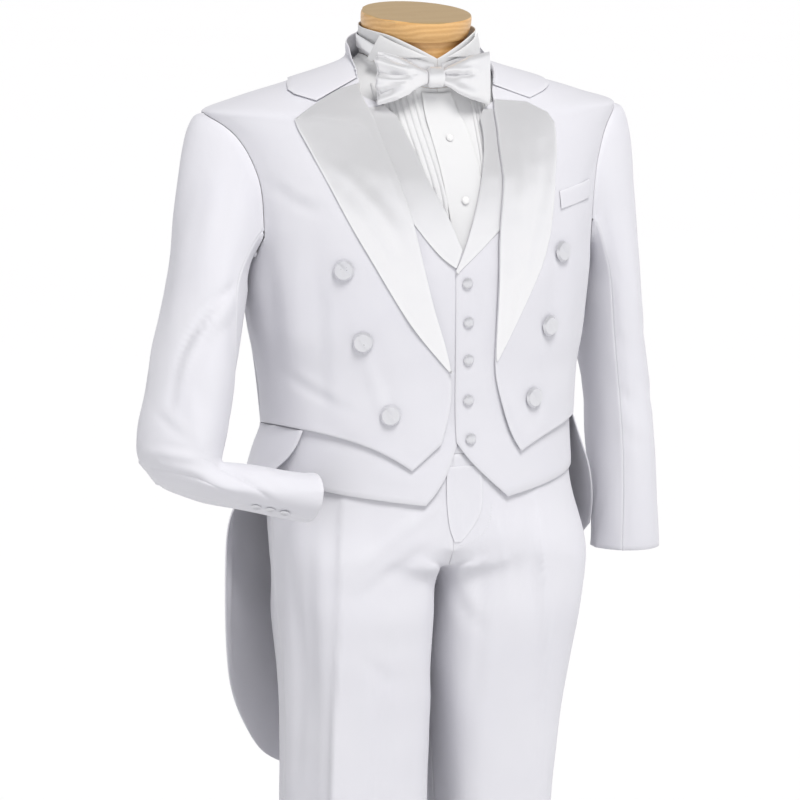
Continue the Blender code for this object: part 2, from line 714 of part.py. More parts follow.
def trim(places, first=False, gap=PANEL_SEAM / 2):
    """Draw the last column and the last row in by half a seam, and the first column if asked."""
    moved = places.copy()
    turn = turned_by(places, gap)
    if first:
        moved[:, 0, 0] += np.sign(places[:, 1, 0] - places[:, 0, 0]) * turn[:, 0]
    moved[:, -1, 0] += np.sign(places[:, -2, 0] - places[:, -1, 0]) * turn[:, -1]
    moved[-1, :, 0] += np.sign(places[-2, :, 0] - places[-1, :, 0]) * turn[-1]
    return moved


def edge_to_edge(start, end, cols):
    """Rows of evenly spaced values between two edges."""
    return np.linspace(start, end, cols).T


def mirrored(places, sign):
    moved = places.copy()
    moved[..., 0] *= sign
    return moved


def layer_wall(name, places, depth, thickness, finish):
    outer = layer(body, places, depth)
    inner = layer(body, places, np.asarray(depth) + thickness)
    return wall(name, outer, inner, finish)


def first_past(line, edge_rows, sign):
    """The first place on a line that lies outside an edge."""
    edge = np.array(edge_rows, float)
    edge = edge[np.argsort(edge[:, 1])]
    past = sign * line[:, 0] > sign * np.interp(line[:, 1], edge[:, 1], edge[:, 0])
    return line[int(np.argmax(past))]


def overlay_places(inner, outer, edge_rows, span, sign, cols, limit=None):
    """The part of a panel's own rows, and of one at the span's foot, from its front edge to an outer line."""
    next_row = int(np.argmax(inner[:, 1] > span[0]))
    part = (span[0] - inner[next_row - 1, 1]) / (inner[next_row, 1] - inner[next_row - 1, 1])
    rows = []
    for edge in (inner, outer):
        foot = edge[next_row - 1] * (1 - part) + edge[next_row] * part
        rows.append(np.concatenate([foot[None], edge[next_row:]]))
    share = np.linspace(0, 1, 1201)
    ends = []
    starts = []
    for near, far in zip(*rows):
        if near[1] > span[1]:
            continue
        line = near + (far - near) * share[:, None]
        starts.append(near if limit is None else first_past(line, limit, sign))
        ends.append(first_past(line, edge_rows, sign))
    return spread(np.array(starts), np.array(ends), cols)


armhole_angle, armhole_height = table(ARMHOLE_ROWS)


def coat_outer_edge(share, back=False):
    """The coat panels' outer edge: up the side seam, then round the armhole to the shoulder."""
    share = np.asarray(share, float)
    height = WAIST_HEIGHT + (ARMPIT_HEIGHT - WAIST_HEIGHT) * share
    side = np.stack([np.full(share.shape, SIDE_SEAM), height], -1)
    around = 180 * share if back else 180 * (2 - share)
    hole = np.stack([armhole_angle(around), armhole_height(around)], -1)
    return np.where((share <= 1)[:, None], side, hole)


def hidden_outer_edge(share, armhole_rows, bottom):
    """A side seam, then an armhole that stays under the coat."""
    share = np.asarray(share, float)
    angle, height = table(armhole_rows)
    side_angle, armpit = armhole_rows[0][1:]
    side = np.stack([np.full(share.shape, side_angle), bottom + (armpit - bottom) * share], -1)
    hole = np.stack([angle(share - 1), height(share - 1)], -1)
    return np.where((share <= 1)[:, None], side, hole)


def build_coat_fronts():
    for side, sign in SIDES:
        rows = graded(COAT_FRONT_ROWS[side])
        inner = rows[:, :2]
        outer = coat_outer_edge(rows[:, 2])
        places = mirrored(trim(spread(inner, outer, 10, HEM_SAG[side])), sign)
        layer_wall(f"coat_front_{side}", places, COAT_DEPTH, CLOTH, "wool")
        places = overlay_places(inner, outer, LAPEL_EDGE_ROWS[side], LAPEL_SPAN[side], 1, 5)
        places[:, 0, 0] += turned_by(places[:, 0], SEAM / 2)
        layer_wall(f"coat_lapel_{side}", mirrored(places, sign), LAPEL_DEPTH[side], CLOTH, "satin")


def build_coat_backs():
    for side, sign in SIDES:
        rows = graded(COAT_BACK_ROWS)
        outer = coat_outer_edge(rows[:, 2], back=True)
        places = mirrored(trim(spread(rows[:, :2], outer, 9), first=True), sign)
        layer_wall(f"coat_back_{side}", places, COAT_DEPTH, CLOTH, "wool")


def build_coat_collar():
    rows = resampled(COLLAR_ROWS, 27)
    crest = rows[:, 0:2]
    edge = rows[:, 2:4]
    rise = rows[:, 4]
    share = np.linspace(0, 1, 4)[None, :, None]
    places = edge[:, None, :] * (1 - share) + crest[:, None, :] * share
    outer = layer(body, places, COLLAR_DEPTH)
    inner = layer(body, places, COLLAR_DEPTH + CLOTH)
    angle = np.radians(crest[:, 0])
    away = np.stack([np.sin(angle), -np.cos(angle), np.zeros(len(angle))], -1)
    foot = (outer[:, -1] + inner[:, -1]) / 2
    for part in (0.5, 1.0):
        top = foot - away * (STAND_LEAN * rise * part)[:, None]
        top[:, 2] += rise * part + CLOTH / 2
        outer = np.concatenate([outer, (top + away * CLOTH / 2)[:, None]], 1)
        inner = np.concatenate([inner, (top - away * CLOTH / 2)[:, None]], 1)
    wall("coat_collar", outer, inner, "wool")


def tail_surface(sign):
    half_right, half_left, back, centre = table(TAIL_ROWS)
    half = half_right if sign < 0 else half_left
    front = table(BODY_ROWS)[1]

    def point(angle, h):
        angle, h = np.broadcast_arrays(np.radians(np.asarray(angle, float)), np.asarray(h, float))
        s = np.sin(angle)
        c = np.cos(angle)
        depth = np.where(c > 0, front(h), back(h))
        n = TAIL_SQUARENESS
        r = (np.abs(s / half(h)) ** n + np.abs(c / depth) ** n) ** (-1 / n)
        return np.stack([r * s, centre(h) - r * c, h], -1)

    return point


def hem_height(side, angle):
    """Height of the coat's lower edge, over the front's hem and the back's."""
    start_angle, start_height = COAT_FRONT_ROWS[side][0][:2]
    share = np.clip((angle - start_angle) / (SIDE_SEAM - start_angle), 0, 1)
    return start_height + (WAIST_HEIGHT - start_height) * share + 4 * HEM_SAG[side] * share * (1 - share)


def build_coat_tails():
    for side, sign in SIDES:
        rows = resampled(TAIL_EDGE_ROWS, 14)
        front = rows[:, 0] if sign < 0 else rows[:, 1]
        front_edge = np.stack([front, rows[:, 2]], -1)
        vent_edge = np.stack([np.full(len(rows), 180 - VENT_ANGLE), rows[:, 3]], -1)
        places = spread(front_edge, vent_edge, 9)
        places[0, :, 1] = hem_height(side, places[0, :, 0]) - TAIL_DROP
        places = mirrored(places, sign)
        surface = tail_surface(sign)
        wall(f"coat_tail_{side}", layer(surface, places, 0.0), layer(surface, places, CLOTH), "wool")


def unit(v):
    v = np.asarray(v, float)
    return v / np.linalg.norm(v)


def left_sleeve_frames():
    """Rings down the hanging arm: centre, outside, front and travel directions, radii and seams."""
    heights = [row[0] for row in LEFT_SLEEVE_ROWS]
    x, y, out, front, inn, back = table(LEFT_SLEEVE_ROWS)
    frames = []
    for h in np.linspace(heights[0], heights[-1], 8):
        centre = np.array((x(h), y(h), h), float)
        radii = tuple(float(curve(h)) for curve in (out, front, inn, back))
        frames.append((centre, (1, 0, 0), (0, -1, 0), (0.08, -0.05, -1), radii, SLEEVE_SEAMS))
    return frames


def right_sleeve_frames():
    """Rings down the upper arm, round the elbow and along the forearm."""
    start, corner, end = (np.array(p) for p in RIGHT_SLEEVE_PATH)
    down = unit(corner - start)
    across = unit(end - corner)
    axis = unit(np.cross(down, across))
    bend = math.acos(float(down @ across))
    first = np.linalg.norm(corner - start) - RIGHT_SLEEVE_BEND * math.tan(bend / 2)
    arc = RIGHT_SLEEVE_BEND * bend
    inward = unit(across - down * float(down @ across))
    pivot = start + down * first + inward * RIGHT_SLEEVE_BEND
    values = table(RIGHT_SLEEVE_ROWS)
    frames = []
    for distance in RIGHT_SLEEVE_STATIONS:
        turn = min(max((distance - first) / RIGHT_SLEEVE_BEND, 0.0), bend)
        centre = pivot + (down * math.sin(turn) - inward * math.cos(turn)) * RIGHT_SLEEVE_BEND
        travel = down * math.cos(turn) + inward * math.sin(turn)
        centre = centre + travel * (min(distance - first, 0.0) + max(distance - first - arc, 0.0))
        radii = tuple(float(curve(distance)) for curve in values[:4])
        seams = tuple(float(curve(distance)) for curve in values[4:])
        frames.append((centre, np.cross(travel, axis), axis, travel, radii, seams))
    return frames


def ring_point(frame, place):
    """Points round a sleeve ring: 0 outside, 90 front, 180 inside, 270 back."""
    centre, outside, front_axis, _, radii, _ = frame
    c = np.cos(np.radians(place))[..., None]
    s = np.sin(np.radians(place))[..., None]
    out, front, inn, back = radii
    across = np.asarray(outside) * c * np.where(c > 0, out, inn)
    return centre + across + np.asarray(front_axis) * s * np.where(s > 0, front, back)


def seam_places(seams, which, share):
    hind, front = seams
    if which == "top":
        return hind + (front - hind) * share
    return front + (hind + 360 - front) * share


def sleeve_rings(side, sign, which, frames, share, inset):
    """Rings of one sleeve panel: the armhole, the turn over the shoulder, then the arm."""
    hole = seam_places(SLEEVE_SEAMS, which, share) % 360
    places = np.stack([armhole_angle(hole) * sign, armhole_height(hole)], -1)
    crown = layer(body, places, -SLEEVE_LIFT)
    middle = layer(body, np.array((ARMHOLE_CENTRE[0] * sign, ARMHOLE_CENTRE[1])), -SLEEVE_LIFT)
    toward = middle - crown
    crown = crown + toward / np.linalg.norm(toward, axis=-1, keepdims=True) * inset
    rise = 0.25 * np.cos(np.radians(hole))
    away = np.stack([np.full(len(share), float(sign)), np.zeros(len(share)), rise], -1)
    first = frames[0]
    landing = ring_point(first, seam_places(first[5], which, share))
    reach = np.linalg.norm(landing - crown, axis=-1, keepdims=True)
    top_share = (0.5 + 0.5 * np.cos(np.radians(hole)))[:, None]
    leave = away * reach * (0.22 + 0.20 * top_share)
    arrive = np.asarray(first[3], float) * reach * (0.5 + 0.6 * top_share)
    rings = [crown]
    for t in SLEEVE_HEAD_STEPS:
        rings.append(
            crown * (2 * t**3 - 3 * t**2 + 1)
            + leave * (t**3 - 2 * t**2 + t)
            + landing * (-2 * t**3 + 3 * t**2)
            + arrive * (t**3 - t**2)
        )
    for frame in frames:
        rings.append(ring_point(frame, seam_places(frame[5], which, share)))
    centre, _, front_axis, travel, _, _ = frames[-1]
    lean = (rings[-1] - centre) @ np.asarray(front_axis)
    rings[-1] = rings[-1] + np.asarray(travel) * (lean * CUFF_SLANT[side])[:, None]
    return np.stack(rings)


def shrunk(frames, amount):
    """The same rings with smaller radii."""
    return [frame[:4] + (tuple(r - amount for r in frame[4]), frame[5]) for frame in frames]


def build_coat_sleeves():
    for side, sign in SIDES:
        frames = left_sleeve_frames() if side == "left" else right_sleeve_frames()
        for which, cols in (("top", 13), ("under", 6)):
            share = np.linspace(SLEEVE_SEAM_SHARE[which], 1 - SLEEVE_SEAM_SHARE[which], cols)
            outer = sleeve_rings(side, sign, which, frames, share, 0.0)
            inner = sleeve_rings(side, sign, which, shrunk(frames, CLOTH), share, CLOTH)
            wall(f"coat_sleeve_{which}_{side}", outer, inner, "wool")


def waistcoat_depth(places, side):
    """The fronts sink a little at the sides, and the right one below the left where they lap."""
    angle = places[..., 0]
    depth = WAISTCOAT_DEPTH + WAISTCOAT_SIDE_SINK * np.clip((np.abs(angle) - 45.0) / 15.0, 0, 1)
    if side == "left":
        return depth
    under = np.clip((angle + 14.0) / 10.0, 0, 1)
    above_points = np.clip((places[..., 1] - LAP_BOTTOM) / 0.02, 0, 1)
    return depth + WAISTCOAT_UNDERLAP * under * under * (3 - 2 * under) * above_points


def build_waistcoat():
    for side, sign in SIDES:
        rows = graded(WAISTCOAT_FRONT_ROWS[side])
        inner = rows[:, :2]
        outer = hidden_outer_edge(rows[:, 2], WAISTCOAT_ARMHOLE, WAISTCOAT_SIDE_HEIGHT)
        outer[:, 0] *= sign
        places = trim(spread(inner, outer, 9, WAISTCOAT_SAG[side]), gap=HIDDEN_SEAM / 2)
        depth = waistcoat_depth(places, side)
        layer_wall(f"waistcoat_front_{side}", places, depth, WAISTCOAT_CLOTH, "wool")
        span = WAISTCOAT_LAPEL_SPAN[side]
        limit = None
        if side == "right":
            limit = graded(WAISTCOAT_FRONT_ROWS["left"])[:, :2] - (LAPEL_LAP_GAP, 0.0)
        places = overlay_places(inner, outer, WAISTCOAT_LAPEL_ROWS[side], span, sign, 5, limit)
        layer_wall(f"waistcoat_lapel_{side}", places, WAISTCOAT_LAPEL_DEPTH, LAPEL_CLOTH, "wool")
    rows = np.array(WAISTCOAT_BACK_ROWS)
    turn = HIDDEN_TURN / 2
    angles = edge_to_edge(rows[:, 1] + turn, 360 - rows[:, 1] - turn, 15)
    places = np.stack([angles, np.broadcast_to(rows[:, :1], angles.shape)], -1)
    depth = np.broadcast_to(rows[:, 2:], angles.shape)
    layer_wall("waistcoat_back", places, depth, WAISTCOAT_CLOTH, "satin")


def shirt_depth(places):
    """The shirt comes nearer to the coat's surface as it climbs to the neck."""
    climb = np.clip((places[..., 1] - 1.325) / (SHIRT_TOP - 1.325), 0, 1)
    return SHIRT_DEPTH + (SHIRT_NECK_DEPTH - SHIRT_DEPTH) * climb


def build_shirt():
    rows = np.array(SHIRT_ROWS)
    height = rows[:, 0]
    turn = HIDDEN_TURN / 2
    for side, sign in SIDES:
        angles = edge_to_edge(rows[:, 1] + sign * turn, sign * (rows[:, 2] - turn), 9)
        places = np.stack([angles, np.broadcast_to(height[:, None], angles.shape)], -1)
        layer_wall(f"shirt_front_{side}", places, shirt_depth(places), SHIRT_CLOTH, "cotton")
    angles = edge_to_edge(rows[:, 3] + turn, 360 - rows[:, 3] - turn, 13)
    places = np.stack([angles, np.broadcast_to(height[:, None], angles.shape)], -1)
    layer_wall("shirt_back", places, shirt_depth(places), SHIRT_CLOTH, "cotton")
    rows = resampled(PLACKET_ROWS, 10)
    places = np.stack([edge_to_edge(rows[:, 1], rows[:, 2], 4), np.broadcast_to(rows[:, :1], (10, 4))], -1)
    layer_wall("shirt_placket", places, shirt_depth(places) - PLACKET_LIFT, LAPEL_CLOTH, "cotton")


def shirt_neck(angle, inset=0.0):
    """The shirt's neck edge, where the collar band is set on."""
    places = np.stack([angle, np.full(len(angle), SHIRT_TOP)], -1)
    return layer(body, places, SHIRT_NECK_DEPTH + inset)


def band_surface(angle, share, off=0.0, inset=0.0):
    """The collar band between the shirt's neck edge and its own top edge."""
    height, radius = table(BAND_TOP_ROWS)
    turn = np.abs((np.asarray(angle, float) + 180) % 360 - 180)
    r = np.radians(angle)
    away = np.stack([np.sin(r), -np.cos(r), np.zeros(len(r))], -1)
    top = away * (radius(turn) - inset)[:, None]
    top[:, :2] += BAND_CENTRE
    top[:, 2] = height(turn)
    foot = shirt_neck(np.asarray(angle, float), inset)
    foot[:, 2] += SEAM
    return foot + (top - foot) * np.asarray(share, float)[..., None] + away * off


def build_shirt_collar():
    back = np.linspace(90, 270, 13)
    angle = np.concatenate([np.linspace(0.0, 90, 9)[:-1], back, np.linspace(270, 360, 9)[1:]])
    angle[0] += HIDDEN_TURN / 2
    angle[-1] -= HIDDEN_TURN / 2
    rows = []
    inner = []
    for share in (0.0, 0.5, 1.0):
        rows.append(band_surface(angle, np.full(len(angle), share)))
        inner.append(band_surface(angle, np.full(len(angle), share), 0.0, SHIRT_CLOTH))
    wall("shirt_collar_band", np.stack(rows), np.stack(inner), "cotton")
    for side, sign in SIDES:
        share, crest, tip, high, low, off = table_rows(WING_ROWS, 5)
        grids = []
        for extra in (LAPEL_CLOTH, 0.0):
            grid = []
            for k in range(len(share)):
                around = -np.linspace(crest[k], tip[k], 5)
                r = np.radians(around)
                away = np.stack([np.sin(r), -np.cos(r), np.zeros(5)], -1)
                radius = table(BAND_TOP_ROWS)[1](around) + off[k] + extra
                points = away * radius[:, None]
                points[:, 0] += BAND_CENTRE[0] * sign
                points[:, 1] += BAND_CENTRE[1]
                points[:, 2] = np.linspace(high[k], low[k], 5)
                points[:, 0] *= sign
                grid.append(points)
            grids.append(np.stack(grid))
        wall(f"shirt_collar_wing_{side}", grids[0], grids[1], "cotton")


def table_rows(rows, count):
    """Columns of a table resampled evenly over its first column."""
    data = np.array(rows, float)
    place = np.linspace(data[0, 0], data[-1, 0], count)
    return [place] + [curve(place) for curve in table(rows)]


def build_bow_tie():
    angle = np.linspace(TIE_BAND_END, 360 - TIE_BAND_END, 23)
    turn = np.abs((angle + 180) % 360 - 180)
    low, high = table(TIE_BAND_ROWS)
    r = np.radians(angle)
    away = np.stack([np.sin(r), -np.cos(r), np.zeros(len(r))], -1)
    radius = table(BAND_TOP_ROWS)[1](turn)
    foot_radius = np.linalg.norm(shirt_neck(angle)[:, :2] - BAND_CENTRE, axis=-1)
    grids = []
    for off in (TIE_BAND_LIFT + LAPEL_CLOTH, TIE_BAND_LIFT):
        grid = []
        for height in (low(turn), high(turn)):
            points = away * (np.maximum(radius, foot_radius) + off)[:, None]
            points[:, :2] += BAND_CENTRE
            points[:, 2] = height
            grid.append(points)
        grids.append(np.stack(grid))
    wall("bow_tie_band", grids[0], grids[1], "satin")
    place = np.array(BOW_PLACE)
    around = np.radians(np.arange(0, 360, 30))
    for side, sign in SIDES:
        share, half, thick, bend = table_rows(BOW_ROWS, 6)
        rings = []
        for k in range(6):
            x = sign * (KNOT_SIZE[0] + SEAM + (BOW_REACH[side] - KNOT_SIZE[0]) * share[k])
            centre = place + (x, bend[k], BOW_RISE[side] * share[k])
            ring = centre + np.stack(
                [
                    np.zeros(12),
                    thick[k] / 2 * np.sin(around),
                    half[k] * np.sign(np.cos(around)) * np.abs(np.cos(around)) ** 0.7,
                ],
                -1,
            )
            rings.append(ring)
        capped(f"bow_tie_wing_{side}", np.stack(rings), "satin")
    rings = []
    for share, size in KNOT_ROWS:
        ring = place + np.stack(
            [
                np.full(12, share * KNOT_SIZE[0]),
                size * KNOT_SIZE[1] * np.sin(around),
                size * KNOT_SIZE[2] * np.cos(around),
            ],
            -1,
        )
        rings.append(ring)
    capped("bow_tie_knot", np.stack(rings), "satin")


def leg_values(sign, h):
    """Centre, half width, front depth and back depth of a trouser leg's ring."""
    right, left, past, front, back, gap_right, gap_left = (curve(h) for curve in table(TROUSER_ROWS))
    outer = right if sign < 0 else left
    inner = -past * outer + (gap_right if sign < 0 else gap_left)
    return (outer + inner) / 2, (outer - inner) / 2, front, back


def leg_surface(sign):
    """A trouser leg: place 0 at the outer seam, 90 front, 180 inner seam, minus 90 back."""
    front_crease, back_crease, ridge = table(CREASE_ROWS)

    def point(place, h):
        place, h = np.broadcast_arrays(np.asarray(place, float), np.asarray(h, float))
        centre, half, front, back = leg_values(sign, h)
        c = np.cos(np.radians(place))
        s = np.sin(np.radians(place))
        power = 2 / np.where((c < 0) & (s > 0), INNER_SQUARENESS, TROUSER_SQUARENESS)
        x = half * np.sign(c) * np.abs(c) ** power
        y = -np.where(s > 0, front, back) * np.sign(s) * np.abs(s) ** power
        peak = np.exp(-(((place - front_crease(h)) / CREASE_SPREAD) ** 2))
        peak = peak + np.exp(-(((place - back_crease(h)) / CREASE_SPREAD) ** 2))
        swell = 1 + ridge(h) * peak / np.hypot(x, y)
        return np.stack([sign * (centre + x * swell), y * swell, h], -1)

    return point


def inner_place(sign, h, squareness):
    """Where a leg's ring ends: at the centre line above the crotch, at the inner seam below."""
    centre, half, _, _ = leg_values(sign, h)
    reach = np.clip((SEAM / 2 - centre) / half, -1, 1)
    c = np.sign(reach) * np.abs(reach) ** (squareness / 2)
    return np.degrees(np.arccos(c))


def build_trousers():
    heights = np.array(LEG_HEIGHTS)
    front_crease, back_crease, _ = table(CREASE_ROWS)
    for side, sign in SIDES:
        surface = leg_surface(sign)
        creases = (
            ("front", 1, front_crease(heights), INNER_SQUARENESS),
            ("back", -1, -back_crease(heights), TROUSER_SQUARENESS),
        )
        for which, turn, crease, squareness in creases:
            end = inner_place(sign, heights, squareness)
            near = crease[:, None] * np.linspace(0, 1, 5)[None, :]
            far = crease[:, None] + (end - crease)[:, None] * np.linspace(0, 1, 6)[None, 1:]
            place = turn * np.concatenate([near, far], 1)
            h = np.broadcast_to(heights[:, None], place.shape)
            outer = surface(place, h)
            inner = outer + outward(surface, place, h) * sign * CLOTH
            for grid in (outer, inner):
                grid[:, 0, 1] -= turn * SEAM / 2
                grid[:, -1, 1] -= turn * SEAM / 2
            wall(f"trousers_{which}_{side}", outer, inner, "wool")


def build_waistband():
    rings = []
    for h in (BAND_BOTTOM, BAND_TOP):
        left = leg_surface(1)
        right = leg_surface(-1)
        for inset in (0.0, CLOTH):
            halves = []
            for surface, sign, span in ((left, 1, (-90, 90)), (right, -1, (90, -90))):
                place = np.linspace(span[0], span[1], 13)[:-1]
                level = np.full(len(place), h)
                points = surface(place, level)
                halves.append(points + outward(surface, place, level) * sign * inset)
            rings.append(np.concatenate(halves))
    low, low_inner, high, high_inner = rings
    wall("trousers_waistband", np.stack([low, high]), np.stack([low_inner, high_inner]), "wool", ring=True)


def build_fly():
    height, near, far = table_rows_by_height(FLY_ROWS, 7)
    grids = []
    for lift in (FLY_LIFT, FLY_LIFT - FLY_CLOTH):
        grid = []
        for k, h in enumerate(height):
            x = np.linspace(near[k], far[k], 5)
            line = []
            for value in x:
                sign = 1 if value >= 0 else -1
                centre, half, front, _ = leg_values(sign, h)
                reach = np.clip((abs(value) - centre) / half, -1, 1)
                n = INNER_SQUARENESS if reach < 0 else TROUSER_SQUARENESS
                depth = front * (1 - abs(reach) ** n) ** (1 / n)
                line.append((value, -depth - lift, h))
            grid.append(line)
        grids.append(np.array(grid, float))
    wall("trousers_fly", grids[0], grids[1], "wool")


def table_rows_by_height(rows, count):
    data = np.array(rows, float)
    height = np.linspace(data[0, 0], data[-1, 0], count)
    return [height] + [curve(height) for curve in table(rows)]


def button(name, size, centre, normal, finish, steps):
    """A shallow dome turned about its own axis."""
    radius, thickness = size
    profile = ((0.0, 0.0), (0.86, 0.0), (1.0, 0.35), (0.78, 0.86), (0.0, 1.0))
    mesh = bpy.data.meshes.new(name)
    points = [(r * radius, 0.0, z * thickness) for r, z in profile]
    mesh.from_pydata(points, [(k, k + 1) for k in range(len(points) - 1)], [])
    obj = bpy.data.objects.new(name, mesh)
    part_collection.objects.link(obj)
    turn = obj.modifiers.new("Turn", "SCREW")
    turn.steps = steps
    turn.render_steps = steps
    turn.use_merge_vertices = True
    turn.merge_threshold = 0.00001
    turn.use_normal_calculate = True
    turn.use_smooth_shade = True
    mesh.materials.append(make_material(name, finish))
    obj.location = Vector(centre)
    obj.rotation_mode = "QUATERNION"
    obj.rotation_quaternion = Vector(normal).to_track_quat("Z", "Y")
    return obj


def place_button(name, size, angle, h, depth, finish, steps):
    place = np.array((angle, h))
    centre = layer(body, place, depth)
    normal = outward(body, place[0], place[1])
    button(name, size, centre, normal, finish, steps)


def build_buttons():
    for side, sign in SIDES:
        for k, (angle, h, lift) in enumerate(COAT_BUTTONS[side], 1):
            place_button(f"coat_button_{side}_{k}", COAT_BUTTON, angle, h, COAT_DEPTH - lift, "satin", 16)
    for k, (angle, h, lift) in enumerate(WAISTCOAT_BUTTONS, 1):
        place_button(f"waistcoat_button_{k}", WAISTCOAT_BUTTON, angle, h, WAISTCOAT_DEPTH - lift, "wool", 12)
    for k, (angle, h, lift) in enumerate(STUDS, 1):
        depth = SHIRT_DEPTH - PLACKET_LIFT - lift
        place_button(f"shirt_stud_{k}", STUD, angle, h, depth, "satin", 12)
    for side, sign in SIDES:
        frames = left_sleeve_frames() if side == "left" else right_sleeve_frames()
        rows = CUFF_BUTTON_ROWS[side]
        for k, (share, place, lift) in enumerate(rows, 1):
            near, far = frames[-3], frames[-1]
            centre = ring_point(near, place) * (1 - share) + ring_point(far, place) * share
            along = unit(ring_point(far, place) - ring_point(near, place))
            around = unit(ring_point(near, place + 4.0) - ring_point(near, place - 4.0))
            normal = unit(np.cross(around, along))
            if normal @ (centre - near[0]) < 0:
                normal = -normal
            place = centre + normal * lift
            button(f"sleeve_button_{side}_{k}", CUFF_BUTTON, place, normal, "satin", 10)


def build_welt():
    (a0, h0), (a1, h1) = WELT_ENDS
    angle = np.linspace(a0, a1, 5)
    foot = np.linspace(h0, h1, 5)
    places = np.stack([np.stack([angle, foot + WELT_WIDTH * share], -1) for share in (0.0, 0.5, 1.0)])
    layer_wall("coat_breast_welt", places, COAT_DEPTH - WELT_LIFT - LAPEL_CLOTH, LAPEL_CLOTH, "wool")


def form_rings(rows, count, segments):
    surface = ring_surface(rows)
    heights = np.array([row[0] for row in rows])
    place = np.linspace(0, len(rows) - 1, count)
    h = np.interp(place, np.arange(len(rows)), heights)
    angle = np.arange(segments) * 360 / segments
    return np.stack([surface(angle, np.full(segments, value)) for value in h])


def domed(name, rings, foot, crown, finish):
    """A solid through closed rings whose ends are fans to a point."""
    rows, cols = rings.shape[:2]
    faces = []
    for i in range(rows - 1):
        for j in range(cols):
            k = (j + 1) % cols
            faces.append((i * cols + j, i * cols + k, (i + 1) * cols + k, (i + 1) * cols + j))
    low = rows * cols
    for j in range(cols):
        k = (j + 1) % cols
        faces.append((j, k, low))
        faces.append(((rows - 1) * cols + j, (rows - 1) * cols + k, low + 1))
    points = np.concatenate([rings.reshape(-1, 3), [foot, crown]])
    return make_object(name, points, faces, finish)


def build_form():
    torso = form_rings(FORM_ROWS, 13, 24)
    crown = np.array(FORM_CROWN)
    foot = torso[0].mean(0)
    domed("form_torso", torso, foot, crown, "form")
    neck_foot = torso[-1] + (0, 0, SEAM)
    angle = np.radians(np.arange(24) * 360 / 24)
    away = np.stack([np.sin(angle), -np.cos(angle), np.zeros(24)], -1)
    slope = Matrix.Rotation(CAP_TILT, 3, "X")
    cap = []
    for down, half_width, half_depth in CAP_ROWS:
        ring = away * (half_width, half_depth, 0.0) - (0.0, 0.0, down)
        cap.append([slope @ Vector(point) + Vector(CAP_TOP) for point in ring])
    cap = np.array(cap)
    domed("form_neck_cap", cap[::-1], cap[-1].mean(0), cap[0].mean(0), "wood")
    neck_top = away * (NECK_RADII[0], NECK_RADII[1], 0.0) - (0.0, 0.0, CAP_ROWS[-1][0] + SEAM)
    neck_top = np.array([slope @ Vector(point) + Vector(CAP_TOP) for point in neck_top])
    middle = neck_foot * 0.5 + neck_top * 0.5
    crown_above = crown + (0, 0, SEAM)
    domed("form_neck_block", np.stack([neck_foot, middle, neck_top]), crown_above, neck_top.mean(0), "wood")
    length = TORSO_BOTTOM - BASE_THICKNESS - 2 * SEAM
    middle = (TORSO_BOTTOM + BASE_THICKNESS) / 2
    bpy.ops.mesh.primitive_cylinder_add(
        vertices=20, radius=POLE_RADIUS, depth=length, location=(*POLE_PLACE, middle)
    )
    finish_primitive("form_pole", "metal")
    bpy.ops.mesh.primitive_cylinder_add(
        vertices=40, radius=BASE_RADIUS, depth=BASE_THICKNESS, location=(0, 0, BASE_THICKNESS / 2)
    )
    base = finish_primitive("form_base", "metal")
    bevel = base.modifiers.new("Rounded edge", "BEVEL")
    bevel.width = BASE_BEVEL
    bevel.segments = 1


def main():
    build_coat_fronts()
    build_coat_backs()
    build_coat_collar()
    build_coat_tails()
    build_coat_sleeves()
    build_waistcoat()
    build_shirt()
    build_shirt_collar()
    build_bow_tie()
    build_trousers()
    build_waistband()
    build_fly()
    build_welt()
    build_buttons()
    build_form()


clear_scene()
part_collection = make_collection()
main()
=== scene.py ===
"""Looks of the white peak lapel tailcoat on its limbless dress form.

Each cloth piece is a thin shell made from the outer wall of its solid: the wall is refined to a smooth
surface, the creases are pressed into it by listed strokes, and it is given the cloth's thickness.

Strokes, tucks and stitches are placed in centimetres as an eye sees them: across, up. The front eye is
the camera, with its zero at the camera's aim. The other eyes look square along an axis, with their zero
on the form's axis at the same height.
"""

import math

import bmesh
import bpy
import numpy as np
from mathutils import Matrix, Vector
from mathutils.bvhtree import BVHTree


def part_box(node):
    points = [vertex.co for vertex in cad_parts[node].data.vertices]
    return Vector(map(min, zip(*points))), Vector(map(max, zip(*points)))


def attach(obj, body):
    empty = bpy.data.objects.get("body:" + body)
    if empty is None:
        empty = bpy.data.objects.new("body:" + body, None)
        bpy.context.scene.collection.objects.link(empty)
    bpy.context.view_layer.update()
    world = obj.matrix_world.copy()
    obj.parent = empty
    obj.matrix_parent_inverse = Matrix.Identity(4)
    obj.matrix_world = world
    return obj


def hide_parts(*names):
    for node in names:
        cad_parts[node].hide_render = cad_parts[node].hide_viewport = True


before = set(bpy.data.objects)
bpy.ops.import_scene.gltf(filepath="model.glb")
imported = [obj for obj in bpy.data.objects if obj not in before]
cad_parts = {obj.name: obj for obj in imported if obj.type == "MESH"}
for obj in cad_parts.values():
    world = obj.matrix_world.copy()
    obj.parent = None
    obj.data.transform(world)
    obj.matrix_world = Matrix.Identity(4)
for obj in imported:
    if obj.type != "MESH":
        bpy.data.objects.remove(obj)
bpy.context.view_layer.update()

# Camera: turn and rise about the form, distance, lens and how far it sees
CAMERA_TURN = math.radians(-21.0)
CAMERA_RISE = math.radians(8.0)
CAMERA_DISTANCE = 5.0
CAMERA_LENS = 186.75
CAMERA_SENSOR = 36.0
CAMERA_REACH = 300.0
AIM_HEIGHT = 0.924
AIM_ASIDE = 0.0205


def direction(turn, rise):
    """The way out from the form at a turn and rise about it."""
    return np.array((math.sin(turn) * math.cos(rise), -math.cos(turn) * math.cos(rise), math.sin(rise)))


